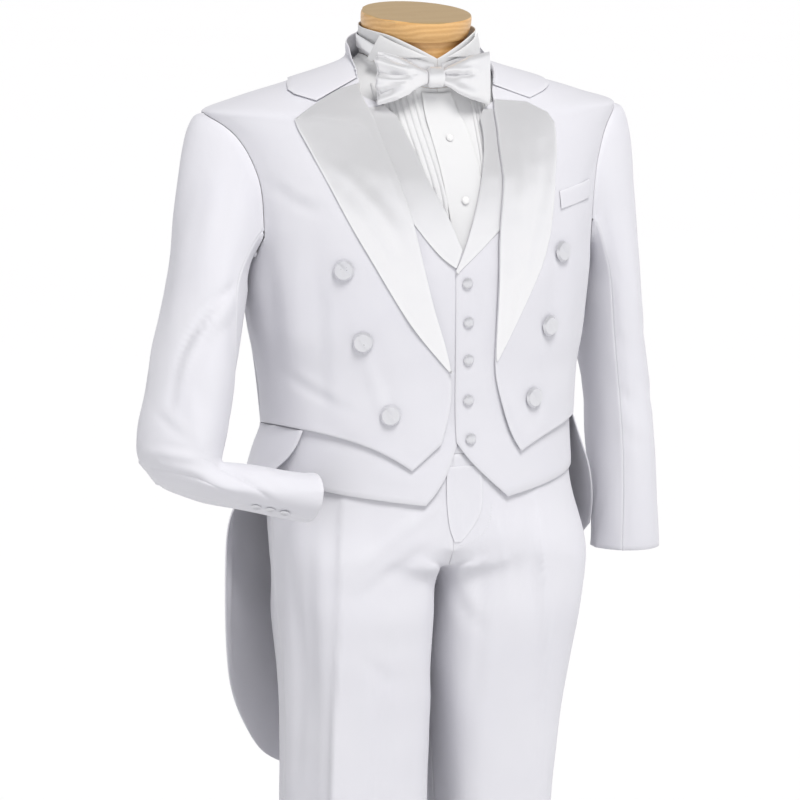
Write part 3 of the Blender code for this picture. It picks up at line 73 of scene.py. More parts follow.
TOWARD = direction(CAMERA_TURN, CAMERA_RISE)
RIGHT = np.array((math.cos(CAMERA_TURN), math.sin(CAMERA_TURN), 0.0))
UP = np.cross(TOWARD, RIGHT)
AIM = np.array((0.0, 0.0, AIM_HEIGHT)) - AIM_ASIDE * RIGHT
EYE_PLACE = AIM + CAMERA_DISTANCE * TOWARD

CM = 0.01
MM = 0.001
# Angles: a fold that stays sharp, one that parts a wall from its rim, and a corner of the outline
SHARP = math.radians(50.0)
RIM_FOLD = math.radians(72.0)
CORNER = math.cos(math.radians(26.0))
# Corners of a solid this close are one
WELD_REACH = 0.02 * MM
# Most that a cloth solid's two walls lie apart, where a ray from one to the other starts, and how far the
# other faces against it
WALL_GAP = 2.6 * MM
RAY_START = 0.01 * MM
WALL_FACING = -0.6
# Rounded edge of the cloth: depths of its rim's rows and how far the walls draw in, in thicknesses
RIM_SHARES = (0.18, 0.5, 0.82)
RIM_DRAW = 0.22
# The outline's roll under and its width, the painted highlight's width, and how far from it the creases fade
EDGE_ROLL = 0.22 * MM
ROLL_WIDTH = 2.0 * MM
EDGE_HIGHLIGHT_WIDTH = 3.0 * MM
EDGE_FADE = 9 * MM
# A smooth surface is fitted to its solid's points by this share, this many times
FIT_SHARE = 0.9
FIT_ROUNDS = 2
# Share of a crease's height that is left at the outline, creases' depth by cloth, and the cloth's own
# unevenness: height in mm, length in m
EDGE_KEEP = 0.25
RELIEF = {"wool": 1.35, "satin": 1.2, "cotton": 1.0, "lining": 1.0}
WAVES = {"wool": (0.45, 0.075), "satin": (0.16, 0.030)}

# Square eyes: right, up and towards the eye
SQUARE_EYES = {
    "back": ((-1, 0, 0), (0, 0, 1), (0, 1, 0)),
    "left": ((0, 1, 0), (0, 0, 1), (1, 0, 0)),
    "right": ((0, -1, 0), (0, 0, 1), (-1, 0, 0)),
}


# ---- cut and cloth of each sheet ----
# node, with * for left and right: flat width, length and area, of each side where they differ, thickness in
# mm, refinements, finish, held, what carries it
CUTS = {
    "coat_back_*": (((0.26, 0.5, 0.112),), 1.6, 3, "wool", "hung", "form_torso"),
    "coat_front_*": (((0.26, 0.52, 0.098), (0.28, 0.53, 0.106)), 1.6, 3, "wool", "hung", "form_torso"),
    "coat_tail_*": (((0.31, 0.46, 0.118), (0.31, 0.46, 0.116)), 1.6, 3, "wool", "hung", "coat_back_*"),
    "coat_collar": (((0.52, 0.09, 0.0375),), 1.0, 2, "wool", "folded", "coat_back_left"),
    "coat_lapel_*": (((0.11, 0.4, 0.0187), (0.11, 0.4, 0.0219)), 0.9, 3, "satin", "folded", "coat_front_*"),
    "coat_breast_welt": (((0.105, 0.02, 0.0015),), 1.0, 3, "wool", "folded", "coat_front_left"),
    "coat_sleeve_top_*": (((0.28, 0.58, 0.111), (0.28, 0.66, 0.125)), 1.6, 3, "wool", "hung", "coat_front_*"),
    "coat_sleeve_under_*": (
        ((0.14, 0.5, 0.048), (0.16, 0.58, 0.0551)), 1.6, 3, "wool", "hung", "coat_back_*"),
    "waistcoat_front_*": (((0.27, 0.56, 0.117), (0.28, 0.56, 0.126)), 1.1, 2, "wool", "hung", "form_torso"),
    "waistcoat_back": (((0.5, 0.5, 0.219),), 1.1, 2, "lining", "hung", "form_torso"),
    "waistcoat_lapel_*": (
        ((0.05, 0.27, 0.0084), (0.05, 0.27, 0.0101)), 0.7, 3, "satin", "folded", "waistcoat_front_*"),
    "shirt_front_*": (((0.24, 0.52, 0.096), (0.26, 0.52, 0.107)), 1.0, 2, "cotton", "hung", "form_torso"),
    "shirt_back": (((0.46, 0.5, 0.185),), 1.0, 2, "cotton", "hung", "form_torso"),
    "shirt_placket": (((0.045, 0.36, 0.016),), 1.0, 3, "cotton", "folded", "shirt_front_left"),
    "shirt_collar_band": (((0.44, 0.045, 0.0167),), 1.0, 3, "cotton", "folded", "form_neck_block"),
    "shirt_collar_wing_*": (((0.075, 0.03, 0.0013),), 0.6, 3, "cotton", "folded", "shirt_collar_band"),
    "bow_tie_band": (((0.46, 0.0155, 0.0069),), 0.9, 2, "satin", "folded", "shirt_collar_band"),
    "trousers_front_*": (
        ((0.32, 0.88, 0.242), (0.32, 0.88, 0.2455)), 1.6, 3, "wool", "hung", "trousers_waistband"),
    "trousers_back_*": (
        ((0.32, 0.88, 0.238), (0.32, 0.88, 0.24)), 1.6, 3, "wool", "hung", "trousers_waistband"),
    "trousers_waistband": (((0.9, 0.041, 0.0362),), 1.6, 2, "wool", "folded", "form_torso"),
    "trousers_fly": (((0.04, 0.13, 0.0037),), 0.8, 3, "wool", "folded", "trousers_front_left"),
}
SHEETS = {}
for name, (flats, *rest, carrier) in CUTS.items():
    for side, flat in zip(("left", "right"), flats * 2):
        SHEETS[name.replace("*", side)] = (*flat, *rest, carrier.replace("*", side))

# Creases by piece and eye: depth in mm (a trough is below zero), width in mm, path of (across, up) in cm. A
# pressed crease has a second width too, in mm, for its gentle slope on the right of a path that runs down.
STROKES = {
    ("coat_sleeve_top_right", "front"): (
        (-2.6, 6, ((-18.4, 14.8), (-22.5, 11.7), (-25.1, 8.4), (-26.9, 4.5), (-27.7, -1.2))),
        (2, 7, ((-18.2, 12.2), (-21.6, 10), (-24.3, 7.2), (-26.1, 3))),
        (-1.4, 4, ((-18.8, 11), (-22.9, 9.6), (-25, 7.9))),
        (-1.2, 9, ((-24.6, 27.2), (-26.6, 22.9), (-27.8, 18), (-28.6, 12), (-29.3, 5.5))),
        (1, 11, ((-21.5, 29.5), (-23, 22), (-23.6, 16))),
        (-2.4, 4.5, ((-22.6, -7.6), (-20.4, -8.7), (-18, -10.2), (-15.4, -12.2))),
        (1.4, 6, ((-22, -6.6), (-18.2, -7.6), (-14, -9.8))),
        (-1.8, 5, ((-30.5, -8.2), (-27.4, -8.8), (-24, -9.6), (-21, -11.2))),
        (1.2, 6, ((-30.6, -6.2), (-27.2, -6.6), (-24.2, -7.2))),
        (-1, 7, ((-29.9, -1), (-27.5, -3.6), (-25.2, -5.2))),
        (0.9, 8, ((-25.4, 1.6), (-24.8, -2.4), (-24.2, -5.4))),
    ),
    ("coat_sleeve_top_right", "back"): (
        (-1.8, 9, ((30, 14), (27.5, 6), (28.5, -2))),
        (-2.2, 7, ((33, -4), (29, -5.8), (25, -6.6))),
        (1.6, 8, ((33.5, -2.2), (29.5, -3.6), (25.5, -4.4))),
    ),
    ("coat_sleeve_top_right", "right"): (
        (-1.6, 9, ((-6, 16), (0, 9), (4, 2))),
        (-1.6, 7, ((10, -4), (5, -6.5), (-1, -7.5))),
    ),
    ("coat_sleeve_under_right", "back"): (
        (-1.8, 8, ((24, 12), (26, 3), (27.5, -4))),
        (-1.8, 6, ((31, -7), (26, -8.2), (20, -9))),
    ),
    ("coat_sleeve_top_left", "front"): (
        (-1.4, 9, ((20.2, 21), (22.5, 17.5), (25.6, 15.4))),
        (-1.3, 9, ((19.8, 10.6), (22.8, 7.8), (26.2, 7.2))),
        (1, 11, ((20.4, 7), (23.2, 4.6), (27.2, 4.4))),
        (-1.6, 9, ((20.3, 1.2), (23.6, 1.4), (27.6, 0.2))),
        (1.2, 10, ((21, -2.4), (24.4, -1), (28, -2))),
        (-1.3, 9, ((21.2, -5.6), (25, -3.8), (29.2, -5.4))),
        (1.2, 12, ((21.6, 30), (23, 18), (24, 6), (25.2, -8))),
        (-0.9, 8, ((26.2, 24), (27.6, 8), (29.4, -10))),
    ),
    ("coat_sleeve_top_left", "back"): (
        (-1.6, 9, ((-29, 12), (-25.5, 6), (-24, -2))),
        (1.3, 10, ((-29.5, 9), (-26.5, 3), (-25, -5))),
        (-1.2, 9, ((-30.5, 2), (-27, -3), (-25, -9))),
    ),
    ("coat_sleeve_top_left", "left"): (
        (-1.5, 10, ((-4, 10), (0, 4), (4.5, 1))),
        (-1.2, 9, ((-5, 2), (0, -3), (5, -4.5))),
    ),
    ("coat_sleeve_under_left", "back"): (
        (-1.5, 8, ((-26, 8), (-23.5, 2), (-23, -6))),
        (1.2, 8, ((-27, 1), (-24.5, -4), (-24, -10))),
    ),
    ("coat_front_right", "front"): (
        (-2, 12, ((-16.4, 21.5), (-16, 15), (-15.4, 8), (-14.9, 1))),
        (1.4, 14, ((-12, 22), (-12.6, 12), (-12.2, 2), (-11.4, -3))),
        (-0.9, 8, ((-9.6, 13.5), (-9.4, 6), (-9.2, -1.5))),
        (-1.2, 9, ((-15.6, 26), (-12.6, 23.5), (-9.6, 22.6))),
        (0.9, 9, ((-5, 9), (-3.6, 3), (-1.4, -3.5))),
        (-0.8, 7, ((-14.8, 4), (-10.4, 0.6), (-5.6, -1.6))),
    ),
    ("coat_front_left", "front"): (
        (1, 9, ((21, 23), (20.6, 15), (20.6, 7), (20, -1))),
        (-1, 9, ((18.8, 19), (18.4, 10), (18.2, 2))),
        (0.8, 9, ((13.4, 1), (14.2, -3), (15.2, -7))),
        (-0.9, 8, ((25.2, 30.5), (22.8, 27), (22, 22.5))),
    ),
    ("coat_back_left", "back"): (
        (1.6, 12, ((-13, 34), (-12, 26), (-9, 18))),
        (-1.5, 10, ((-16, 22), (-12, 14), (-6, 8))),
        (-1.3, 9, ((-14, 6), (-8, 3), (-2, 3.4))),
        (1.2, 9, ((-14, 2.6), (-8, 0.2), (-2, 0.6))),
        (-0.9, 7, ((-7, 26), (-6.4, 12), (-5.6, 0))),
    ),
    ("coat_back_right", "back"): (
        (1.6, 12, ((14, 33), (12.4, 25), (8.6, 17))),
        (-1.6, 10, ((16.5, 20), (12, 13), (5.5, 7.4))),
        (-1.2, 9, ((13.6, 5.2), (8.4, 2.4), (2.2, 3))),
        (1.2, 9, ((14.4, 1.8), (8.8, -0.4), (2.4, 0.2))),
        (-0.9, 7, ((7.2, 25), (6.6, 11), (5.8, 0))),
    ),
    ("coat_tail_left", "back"): (
        (2.2, 9, ((-9.5, -2), (-9, -18), (-7, -36))),
        (-2, 10, ((-13, -3), (-13.4, -18), (-11, -34))),
        (-1.4, 8, ((-4.6, -2), (-4, -20), (-3.4, -40))),
    ),
    ("coat_tail_right", "back"): (
        (2.2, 9, ((9.2, -2), (8.4, -18), (6.4, -36))),
        (-2, 10, ((13.2, -3), (13, -18), (10.4, -34))),
        (-1.4, 8, ((4.4, -2), (4, -20), (3.2, -40))),
    ),
    ("coat_tail_right", "right"): (
        (-2, 9, ((-9, -14), (-8, -24), (-9, -36))),
    ),
    ("trousers_front_right", "front"): (
        (6.4, 5, (
            (-6.9, -9.6), (-7.2, -18.4), (-7.5, -30.5), (-7.9, -38.6), (-8.4, -60), (-8.6, -92)), 34),
        (-1.6, 9, ((-10.8, -12), (-11, -24), (-10.9, -36), (-11.2, -48))),
        (2.2, 9, ((-13, -12), (-13.6, -26), (-13.4, -44), (-13.2, -62))),
        (1.2, 8, ((-4.4, -20), (0, -16), (4.2, -13))),
        (-1.3, 8, ((-5, -24), (-1, -21), (4, -17.5))),
        (-1.2, 8, ((-5, -31), (-1.6, -34), (2.6, -33))),
        (-1.2, 9, ((-2, -24), (-2.6, -36), (-3, -50), (-3.4, -70))),
    ),
    ("trousers_front_right", "right"): (
        (-1.6, 10, ((4, -14), (5, -28), (3, -46))),
    ),
    ("trousers_front_left", "front"): (
        (4.8, 5, (
            (16.4, -11), (17, -18), (17.4, -26), (17.4, -36), (17, -48), (15.8, -70), (14.6, -92)), 24),
        (-1.5, 8, ((15.4, -13), (16, -20), (16.2, -30))),
        (1.3, 8, ((11.2, -12.4), (12.6, -19), (13, -26))),
        (-1.3, 8, ((9.4, -15), (10, -24), (9, -36))),
        (-1.4, 8, ((5.6, -20), (7.2, -25), (10.4, -28))),
        (-1.4, 9, ((20.4, -18), (21, -30), (19.6, -44))),
    ),
    ("trousers_front_left", "left"): (
        (-1.5, 9, ((2, -14), (3, -28), (2, -46))),
    ),
    ("trousers_back_right", "back"): (
        (2.8, 4.6, ((9.6, -20), (9.4, -45), (9.2, -70), (9.2, -88)), 22),
        (-2, 9, ((14, -18), (8, -22), (2.6, -21))),
        (1.6, 9, ((14.6, -23), (8.4, -27), (2.8, -26))),
        (-1.6, 9, ((14, -29), (9, -32), (3.4, -34))),
        (-1.6, 10, ((14, -44), (8, -47), (4, -50))),
    ),
    ("trousers_back_right", "right"): (
        (-1.6, 10, ((-4, -20), (-5, -40), (-4, -60))),
    ),
    ("trousers_back_left", "back"): (
        (2.8, 4.6, ((-9.6, -20), (-9.4, -45), (-9.2, -70), (-9.2, -88)), 22),
        (-2, 9, ((-14, -19), (-8, -22.4), (-2.6, -21.4))),
        (1.6, 9, ((-14.6, -24), (-8.4, -27.6), (-2.8, -26.6))),
        (-1.6, 9, ((-14, -30), (-9, -32.6), (-3.4, -35))),
        (-1.6, 10, ((-14, -45), (-8, -47.6), (-4, -50.6))),
    ),
    ("trousers_back_left", "left"): (
        (-1.6, 10, ((4, -22), (5, -40), (4, -62))),
    ),
    ("waistcoat_front_right", "front"): (
        (-0.8, 7, ((3, 12), (4.6, 4), (5.6, -3))),
        (0.8, 9, ((-4, -8), (0, -9.4), (4, -9.8))),
    ),
    ("waistcoat_front_left", "front"): (
        (-1, 7, ((9.4, 14), (10.4, 6), (11.4, -2))),
        (0.9, 8, ((11.6, 13), (12.6, 6), (12.6, 0))),
    ),
    ("coat_lapel_right", "front"): (
        (1, 9, ((-9, 29), (-3, 24), (1, 17))),
        (-0.9, 8, ((-9, 25), (-4.6, 19), (0.6, 11))),
        (0.8, 8, ((-4.6, 34), (-1, 28), (2, 21))),
        (-0.7, 6, ((-2, 14), (2, 8), (4.6, 4.5))),
    ),
    ("coat_lapel_left", "front"): (
        (0.9, 8, ((14, 34), (15, 27), (14.6, 19))),
        (-0.9, 7, ((17.4, 32), (17.6, 26), (16, 19))),
        (0.7, 6, ((12.6, 20), (13.4, 13), (12.8, 6))),
        (-0.6, 5, ((16.6, 21.6), (14.8, 14), (13.6, 8))),
    ),
}

# Bow tie wings: creases run out from the knot: depth in mm, width in mm, path in cm by the front eye
BOW_STROKES = {
    "bow_tie_wing_right": (
        (-5.6, 3.8, ((1.2, 39.2), (-1.2, 39.3), (-3.2, 39.5))),
        (2.6, 5.4, ((1, 39.9), (-1.6, 40.6), (-4.6, 41.2))),
        (-4.2, 4.2, ((0.9, 40.3), (-1.8, 41.4), (-4, 42.4))),
        (2.2, 5.4, ((0.9, 38.6), (-1.6, 38), (-4.6, 37.6))),
        (-4.2, 4.2, ((0.7, 38.3), (-1.4, 37.2), (-3.6, 36.4))),
    ),
    "bow_tie_wing_left": (
        (-5.6, 3.8, ((5, 39.2), (7.2, 39.1), (9, 39.3))),
        (2.6, 5.4, ((4.6, 40), (7, 40.6), (9.8, 41.4))),
        (-4.2, 4.2, ((4.2, 40.5), (6.6, 41.6), (8.8, 42.6))),
        (2.2, 5.4, ((4.6, 38.6), (7, 37.6), (9.4, 36.6))),
        (-4.2, 4.2, ((4.2, 38.2), (6.4, 36.8), (8.8, 35.4))),
    ),
}

# Shirt tucks beside the placket: path of the tuck nearest it and the step to the next, in cm
TUCKS = {
    "right": (((2, 38), (3, 33.6), (4.6, 29), (5.9, 24.6), (6.2, 21.6)), (-0.80, 0.02), 7),
    "left": (((7.9, 37.6), (8.7, 33), (9.5, 28.6), (9.8, 24), (9.5, 20)), (0.80, 0.02), 6),
}
TUCK_WIDTH = 5.2 * MM
TUCK_LIFT = 2.2 * MM
# Section of a tuck: shares of its width and lift; where the first lies, in steps; points along one
TUCK_SECTION = ((0.0, -0.2), (0.0, 0.35), (0.12, 1.0), (0.72, 0.80), (1.0, 0.15), (1.0, -0.2))
TUCK_START = 0.35
TUCK_POINTS = 44
# Unevenness of a tuck's lift: its share, and its turn with each point and each tuck
TUCK_WOBBLE = (0.12, 1.9, 2.3)

# Pieces sewn to others, and how their outline is drawn to the seam, in mm: gap left, catch, the catch's
# end and reach into the piece
SEWN = {}
for side in ("left", "right"):
    body = (f"coat_front_{side}", f"coat_back_{side}")
    SEWN[f"coat_sleeve_top_{side}"] = body
    SEWN[f"coat_sleeve_under_{side}"] = (*body, f"coat_sleeve_top_{side}")
SEAM = (0.25, 3.0, 5.0, 12.0)

# Pieces that lie closer to the cloth below than their solids, in mm, both sides alike
SUNK = {
    "trousers_fly": 1.2,
    "coat_collar": 0.6,
    "coat_lapel": 0.7,
    "coat_breast_welt": 0.5,
    "waistcoat_lapel": 0.3,
    "shirt_collar_wing": 0.4,
}

# A flap laid on other pieces: their walls, its lift in mm at its open edge and elsewhere, and how far
# across the lift fades, in cm by the front eye
LAID = {"trousers_fly": (("trousers_front_left", "trousers_front_right"), 1.0, 0.12, (5.6, 7.6))}

# Ledge eased out of the leg panels where the legs part: height and half depth in m, rounds, and how far
# from the middle it starts and is full, in m. Each round moves a point by a share of the way.
EASED = (0.728, 0.032, 110, (0.030, 0.060))
RELAX_STEP = 0.5

# Stitch rows: what carries them, path in cm by the front eye. A stitch: length, thickness and pitch in mm,
# its rings as shares of length and thickness, its sides, its lift in thicknesses and its flatness
STITCH_ROWS = {
    "fly_stitches": (
        "trousers_front_left",
        ((5.9, -17.6), (8.0, -17.5), (9.9, -16.5), (10.9, -14.6), (11.1, -12.4)),
    ),
}
STITCH = (2.2, 0.45, 3.4)
STITCH_RINGS = ((-0.5, 0.35), (-0.3, 1.0), (0.3, 1.0), (0.5, 0.35))
STITCH_SIDES = 6
STITCH_LIFT = 0.15
STITCH_FLATNESS = 0.8

# Finish: colour, shade, roughness, sheen, weave pitch in mm, weave relief, slubs
FABRICS = {
    "wool": ((0.725, 0.722, 0.752), (0.665, 0.660, 0.712), 0.86, 0.18, 1.1, 0.16, 0.22),
    "satin": ((0.875, 0.873, 0.880), (0.835, 0.832, 0.850), 0.32, 0.10, 0.7, 0.05, 0.10),
    "covered": ((0.750, 0.750, 0.775), (0.660, 0.660, 0.690), 0.30, 0.10, 0.6, 0.06, 0.12),
    "cotton": ((0.745, 0.745, 0.745), (0.690, 0.690, 0.705), 0.80, 0.12, 0.6, 0.10, 0.15),
    "lining": ((0.800, 0.800, 0.815), (0.760, 0.760, 0.790), 0.38, 0.10, 0.7, 0.06, 0.12),
    "canvas": ((0.560, 0.510, 0.430), (0.480, 0.430, 0.360), 0.92, 0.10, 1.4, 0.30, 0.35),
}


# ---- meshes ----
def welded(node):
    """A bmesh of a solid with its split corners joined."""
    made = bmesh.new()
    made.from_mesh(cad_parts[node].data)
    bmesh.ops.remove_doubles(made, verts=made.verts, dist=WELD_REACH)
    made.faces.ensure_lookup_table()
    made.verts.ensure_lookup_table()
    made.faces.index_update()
    made.verts.index_update()
    return made


def outer_wall(node):
    """Points and triangles of a cloth solid's outer wall: the larger of its two facing walls."""
    made = welded(node)
    tree = BVHTree.FromBMesh(made)
    seen = set()
    for face in made.faces:
        start = face.calc_center_median() - face.normal * RAY_START
        hit = tree.ray_cast(start, -face.normal, WALL_GAP)
        if hit[0] is None or hit[1].dot(face.normal) > WALL_FACING:
            seen.add(face.index)
    groups = []
    for start in made.faces:
        if start.index in seen:
            continue
        seen.add(start.index)
        stack = [start]
        group = []
        while stack:
            face = stack.pop()
            group.append(face)
            for edge in face.edges:
                if edge.calc_face_angle(math.pi) > RIM_FOLD:
                    continue
                for other in edge.link_faces:
                    if other.index not in seen:
                        seen.add(other.index)
                        stack.append(other)
        groups.append(group)
    groups.sort(key=lambda g: -sum(f.calc_area() for f in g))
    points, tris = arrays(made, groups[0])
    made.free()
    return points, tris


def arrays(made, faces):
    """Points and triangles of some of a bmesh's faces."""
    tris = np.array([[v.index for v in f.verts] for f in faces])
    used, tris = np.unique(tris, return_inverse=True)
    points = np.array([made.verts[k].co for k in used])
    return points, tris.reshape(-1, 3)


def edge_table(tris):
    """Unique edges, which edge each triangle side is, and how many faces each edge has."""
    sides = np.sort(tris[:, [[0, 1], [1, 2], [2, 0]]].reshape(-1, 2), axis=1)
    edges, which, count = np.unique(sides, axis=0, return_inverse=True, return_counts=True)
    return edges, which.ravel(), count


def unit(vectors, least=1e-12):
    return vectors / np.maximum(np.linalg.norm(vectors, axis=1, keepdims=True), least)


def face_normals(points, tris):
    a, b, c = points[tris].transpose(1, 0, 2)
    return np.cross(b - a, c - a)


def point_normals(points, tris):
    """Unit normals at the points, weighted by area."""
    n = np.zeros_like(points)
    faces = face_normals(points, tris)
    for k in range(3):
        np.add.at(n, tris[:, k], faces)
    return unit(n)


def hard_edges(points, tris, edges, which, count, sharp):
    """Edges kept as they are: the outline, and those sharper than the given angle."""
    hard = count == 1
    if sharp is None:
        return hard
    n = unit(face_normals(points, tris), 1e-15)
    face = np.repeat(np.arange(len(tris)), 3)
    order = np.argsort(which, kind="stable")
    first = np.searchsorted(which[order], np.arange(len(edges)))
    a = face[order[first]]
    b = face[order[np.minimum(first + 1, len(order) - 1)]]
    folded = (n[a] * n[b]).sum(1) < math.cos(sharp)
    return hard | (folded & (count == 2))


def corners_of(points, edges, hard):
    """Points where the kept edges end, meet or turn a corner."""
    ends = edges[hard].ravel()
    count = np.bincount(ends, minlength=len(points))
    corner = count > 2
    near = {}
    for a, b in edges[hard]:
        near.setdefault(a, []).append(b)
        near.setdefault(b, []).append(a)
    for k, others in near.items():
        if len(others) != 2:
            continue
        u = points[others[0]] - points[k]
        v = points[others[1]] - points[k]
        bend = -(u @ v) / max(np.linalg.norm(u) * np.linalg.norm(v), 1e-15)
        corner[k] = bend < CORNER
    return corner


def refined(points, tris, steps, sharp=None):
    """A smooth surface through a coarse cage's points, cut finer the given number of times."""
    cage = points
    for _ in range(FIT_ROUNDS):
        near = smoothed(cage, tris, min(steps, 2), sharp)[0][: len(points)]
        cage = cage + (points - near) * FIT_SHARE
    return smoothed(cage, tris, steps, sharp)


def smoothed(points, tris, steps, sharp):
    """The surface that a cage is the control net of."""
    edges, which, count = edge_table(tris)
    hard = hard_edges(points, tris, edges, which, count, sharp)
    corner = corners_of(points, edges, hard)
    for _ in range(steps):
        total = len(points)
        far = points[tris[:, [2, 0, 1]].ravel()]
        across = np.zeros((len(edges), 3))
        np.add.at(across, which, far)
        ends = points[edges].sum(1)
        middle = np.where(hard[:, None], ends / 2, ends * 3 / 8 + across / 8)
        near = np.zeros_like(points)
        near_hard = np.zeros_like(points)
        for a, b in ((0, 1), (1, 0)):
            np.add.at(near, edges[:, a], points[edges[:, b]])
            np.add.at(near_hard, edges[hard][:, a], points[edges[hard][:, b]])
        n = np.bincount(edges.ravel(), minlength=total)
        n_hard = np.bincount(edges[hard].ravel(), minlength=total)
        share = np.where(n == 3, 3 / 16, 3 / (8 * np.maximum(n, 1)))[:, None]
        moved = (1 - n[:, None] * share) * points + share * near
        on_line = (n_hard == 2)[:, None]
        moved = np.where(on_line, points * 0.75 + near_hard / 8, moved)
        moved = np.where((corner | (n_hard > 2) | (n_hard == 1))[:, None], points, moved)
        mid = total + which.reshape(-1, 3)
        a, b, c = tris.T
        ab, bc, ca = mid.T
        new = np.stack([a, ab, ca, ab, b, bc, ca, bc, c, ab, bc, ca], 1).reshape(-1, 3)
        kept = edges[hard]
        halves = total + np.flatnonzero(hard)
        kept = np.sort(np.concatenate([np.stack([end, halves], 1) for end in kept.T]), axis=1)
        points = np.concatenate([moved, middle])
        tris = new
        corner = np.concatenate([corner, np.zeros(len(middle), bool)])
        edges, which, count = edge_table(tris)
        key = edges[:, 0].astype(np.int64) * len(points) + edges[:, 1]
        hard = np.isin(key, kept[:, 0].astype(np.int64) * len(points) + kept[:, 1])
    return points, tris


def outline_loops(tris):
    """The outline's sides, each in its triangle's own direction."""
    sides = tris[:, [[0, 1], [1, 2], [2, 0]]].reshape(-1, 2)
    _, which, count = edge_table(tris)
    return sides[count[which] == 1]


def nearest(points, line, size=2000):
    """The nearest of a line's points to each point, and its distance."""
    index = np.zeros(len(points), int)
    gap = np.zeros(len(points))
    for start in range(0, len(points), size):
        part = slice(start, start + size)
        away = np.linalg.norm(points[part, None] - line[None], axis=2)
        index[part] = away.argmin(1)
        gap[part] = away.min(1)
    return index, gap


def edge_distance(points, tris):
    """Distance of each point from the outline."""
    sides = outline_loops(tris)
    return nearest(points, np.concatenate([points[sides].mean(1), points[sides[:, 0]]]))[1]


def relaxed(points, tris, share, rounds):
    """Points drawn towards the middle of their neighbours, by a share of each, the outline kept."""
    edges = edge_table(tris)[0]
    ends, others = np.concatenate([edges, edges[:, ::-1]]).T
    count = np.bincount(ends, minlength=len(points))
    share = share.copy()
    share[np.unique(outline_loops(tris))] = 0
    for _ in range(rounds):
        middle = np.stack([np.bincount(ends, points[others, k], len(points)) / count for k in range(3)], 1)
        points = points + (middle - points) * RELAX_STEP * share[:, None]
    return points


def laid_on(points, node):
    """Points of a flap moved to lie on the walls below it, lifted along its open edge."""
    others, lift, low, (start, end) = LAID[node]
    trees = [BVHTree.FromPolygons(walls[o][0].tolist(), walls[o][1].tolist()) for o in others]
    across = seen_by("front", points)[0][:, 0]
    share = np.clip((end - across) / (end - start), 0, 1) ** 2
    moved = points.copy()
    for k, point in enumerate(points):
        hits = [tree.find_nearest(Vector(point)) for tree in trees]
        place, normal = min(hits, key=lambda hit: hit[3])[:2]
        moved[k] = np.array(place) + np.array(normal) * (low + (lift - low) * share[k]) * MM
    return moved


def drawn_to_seam(points, tris, others):
    """Points of a piece with its outline drawn to the outlines that it is sewn to."""
    gap, catch, end, reach = (v * MM for v in SEAM)
    lines = []
    for other in others:
        far, sides = walls[other][0], outline_loops(walls[other][1])
        a, b = far[sides[:, 0]], far[sides[:, 1]]
        lines += [a + (b - a) * share for share in (0.0, 0.25, 0.5, 0.75)]
    line = np.concatenate(lines)
    rim = np.unique(outline_loops(tris))
    near, size = nearest(points[rim], line, 400)
    share = np.clip((size - gap) / np.maximum(size, 1e-9), 0, 1)
    share *= np.clip((end - size) / (end - catch), 0, 1)
    pull = (line[near] - points[rim]) * share[:, None]
    held = np.linalg.norm(pull, axis=1) > 1e-6
    near, size = nearest(points, points[rim[held]])
    return points + pull[held][near] * (np.clip(1 - size / reach, 0, 1) ** 2)[:, None]


def thickened(points, tris, normals, thickness):
    """A closed thin shell: the outer wall, the wall below it and a rounded rim between them."""
    total = len(points)
    sides = outline_loops(tris)
    a, b = sides.T
    rim, place = np.unique(sides, return_inverse=True)
    place = place.reshape(-1, 2)
    away = np.zeros_like(points)
    for end in (a, b):
        np.add.at(away, end, np.cross(points[b] - points[a], normals[end]))
    drawn_in = points - unit(away) * thickness * RIM_DRAW
    rows = [drawn_in, drawn_in - normals * thickness]
    rows += [points[rim] - normals[rim] * thickness * share for share in RIM_SHARES]
    loops = [sides] + [place + 2 * total + k * len(rim) for k in range(len(RIM_SHARES))] + [sides + total]
    faces = [tris, tris[:, ::-1] + total]
    for upper, lower in zip(loops, loops[1:]):
        faces.append(np.stack([upper[:, 1], upper[:, 0], lower[:, 0]], 1))
        faces.append(np.stack([upper[:, 1], lower[:, 0], lower[:, 1]], 1))
    return np.concatenate(rows), np.concatenate(faces)


def placed(name, data):
    """An object of the scene with the given data."""
    obj = bpy.data.objects.new(name, data)
    bpy.context.scene.collection.objects.link(obj)
    return obj


def make_piece(name, points, faces, finish, edge=None):
    """A smooth piece from lists of points and faces; edge is how near each point is to the outline, for the
    painted highlight there.
    """
    mesh = bpy.data.meshes.new(name)
    mesh.from_pydata(points, [], faces)
    mesh.validate()
    mesh.shade_smooth()
    if edge is not None:
        attribute = mesh.attributes.new("edge", "FLOAT", "POINT")
        attribute.data.foreach_set("value", edge.astype(np.float32))
    mesh.materials.append(MATERIALS[finish])
    return placed(name, mesh)


# ---- creases ----
# A crease narrower than this, in mm, has a sharp top that falls this fast
PRESSED_WIDTH = 5.1
PRESSED_FALL = 1.4
# The opposite form beside a soft crease: its place in widths and its share of the depth
BESIDE_PLACE = 1.7
BESIDE_SHARE = -0.38
# Fade towards a crease's ends, its unevenness along its length, the turn of that from one crease of a piece
# to the next, and how far the surface must face the eye
END_SHARES = (0.02, 0.98)
END_FADE = 0.55
UNEVEN = ((0.22, 7.0, 1), (0.12, 17.0, 2))
PHASE_STEP = 1.3
FACING = 0.35
# Sine waves of the cloth's unevenness: their number and the range of their lengths
WAVE_COUNT = 7
WAVE_RANGE = (0.7, 1.5)


def seen_by(eye, points):
    """Places of the points in the eye's plane, in cm, and the direction towards the eye."""
    if eye == "front":
        offset = points - EYE_PLACE
        scale = -CAMERA_DISTANCE / (offset @ TOWARD)
        return np.stack([offset @ RIGHT * scale, offset @ UP * scale], 1) / CM, TOWARD
    right, up, toward = (np.array(v, float) for v in SQUARE_EYES[eye])
    offset = points - (0.0, 0.0, AIM_HEIGHT)
    return np.stack([offset @ right, offset @ up], 1) / CM, toward


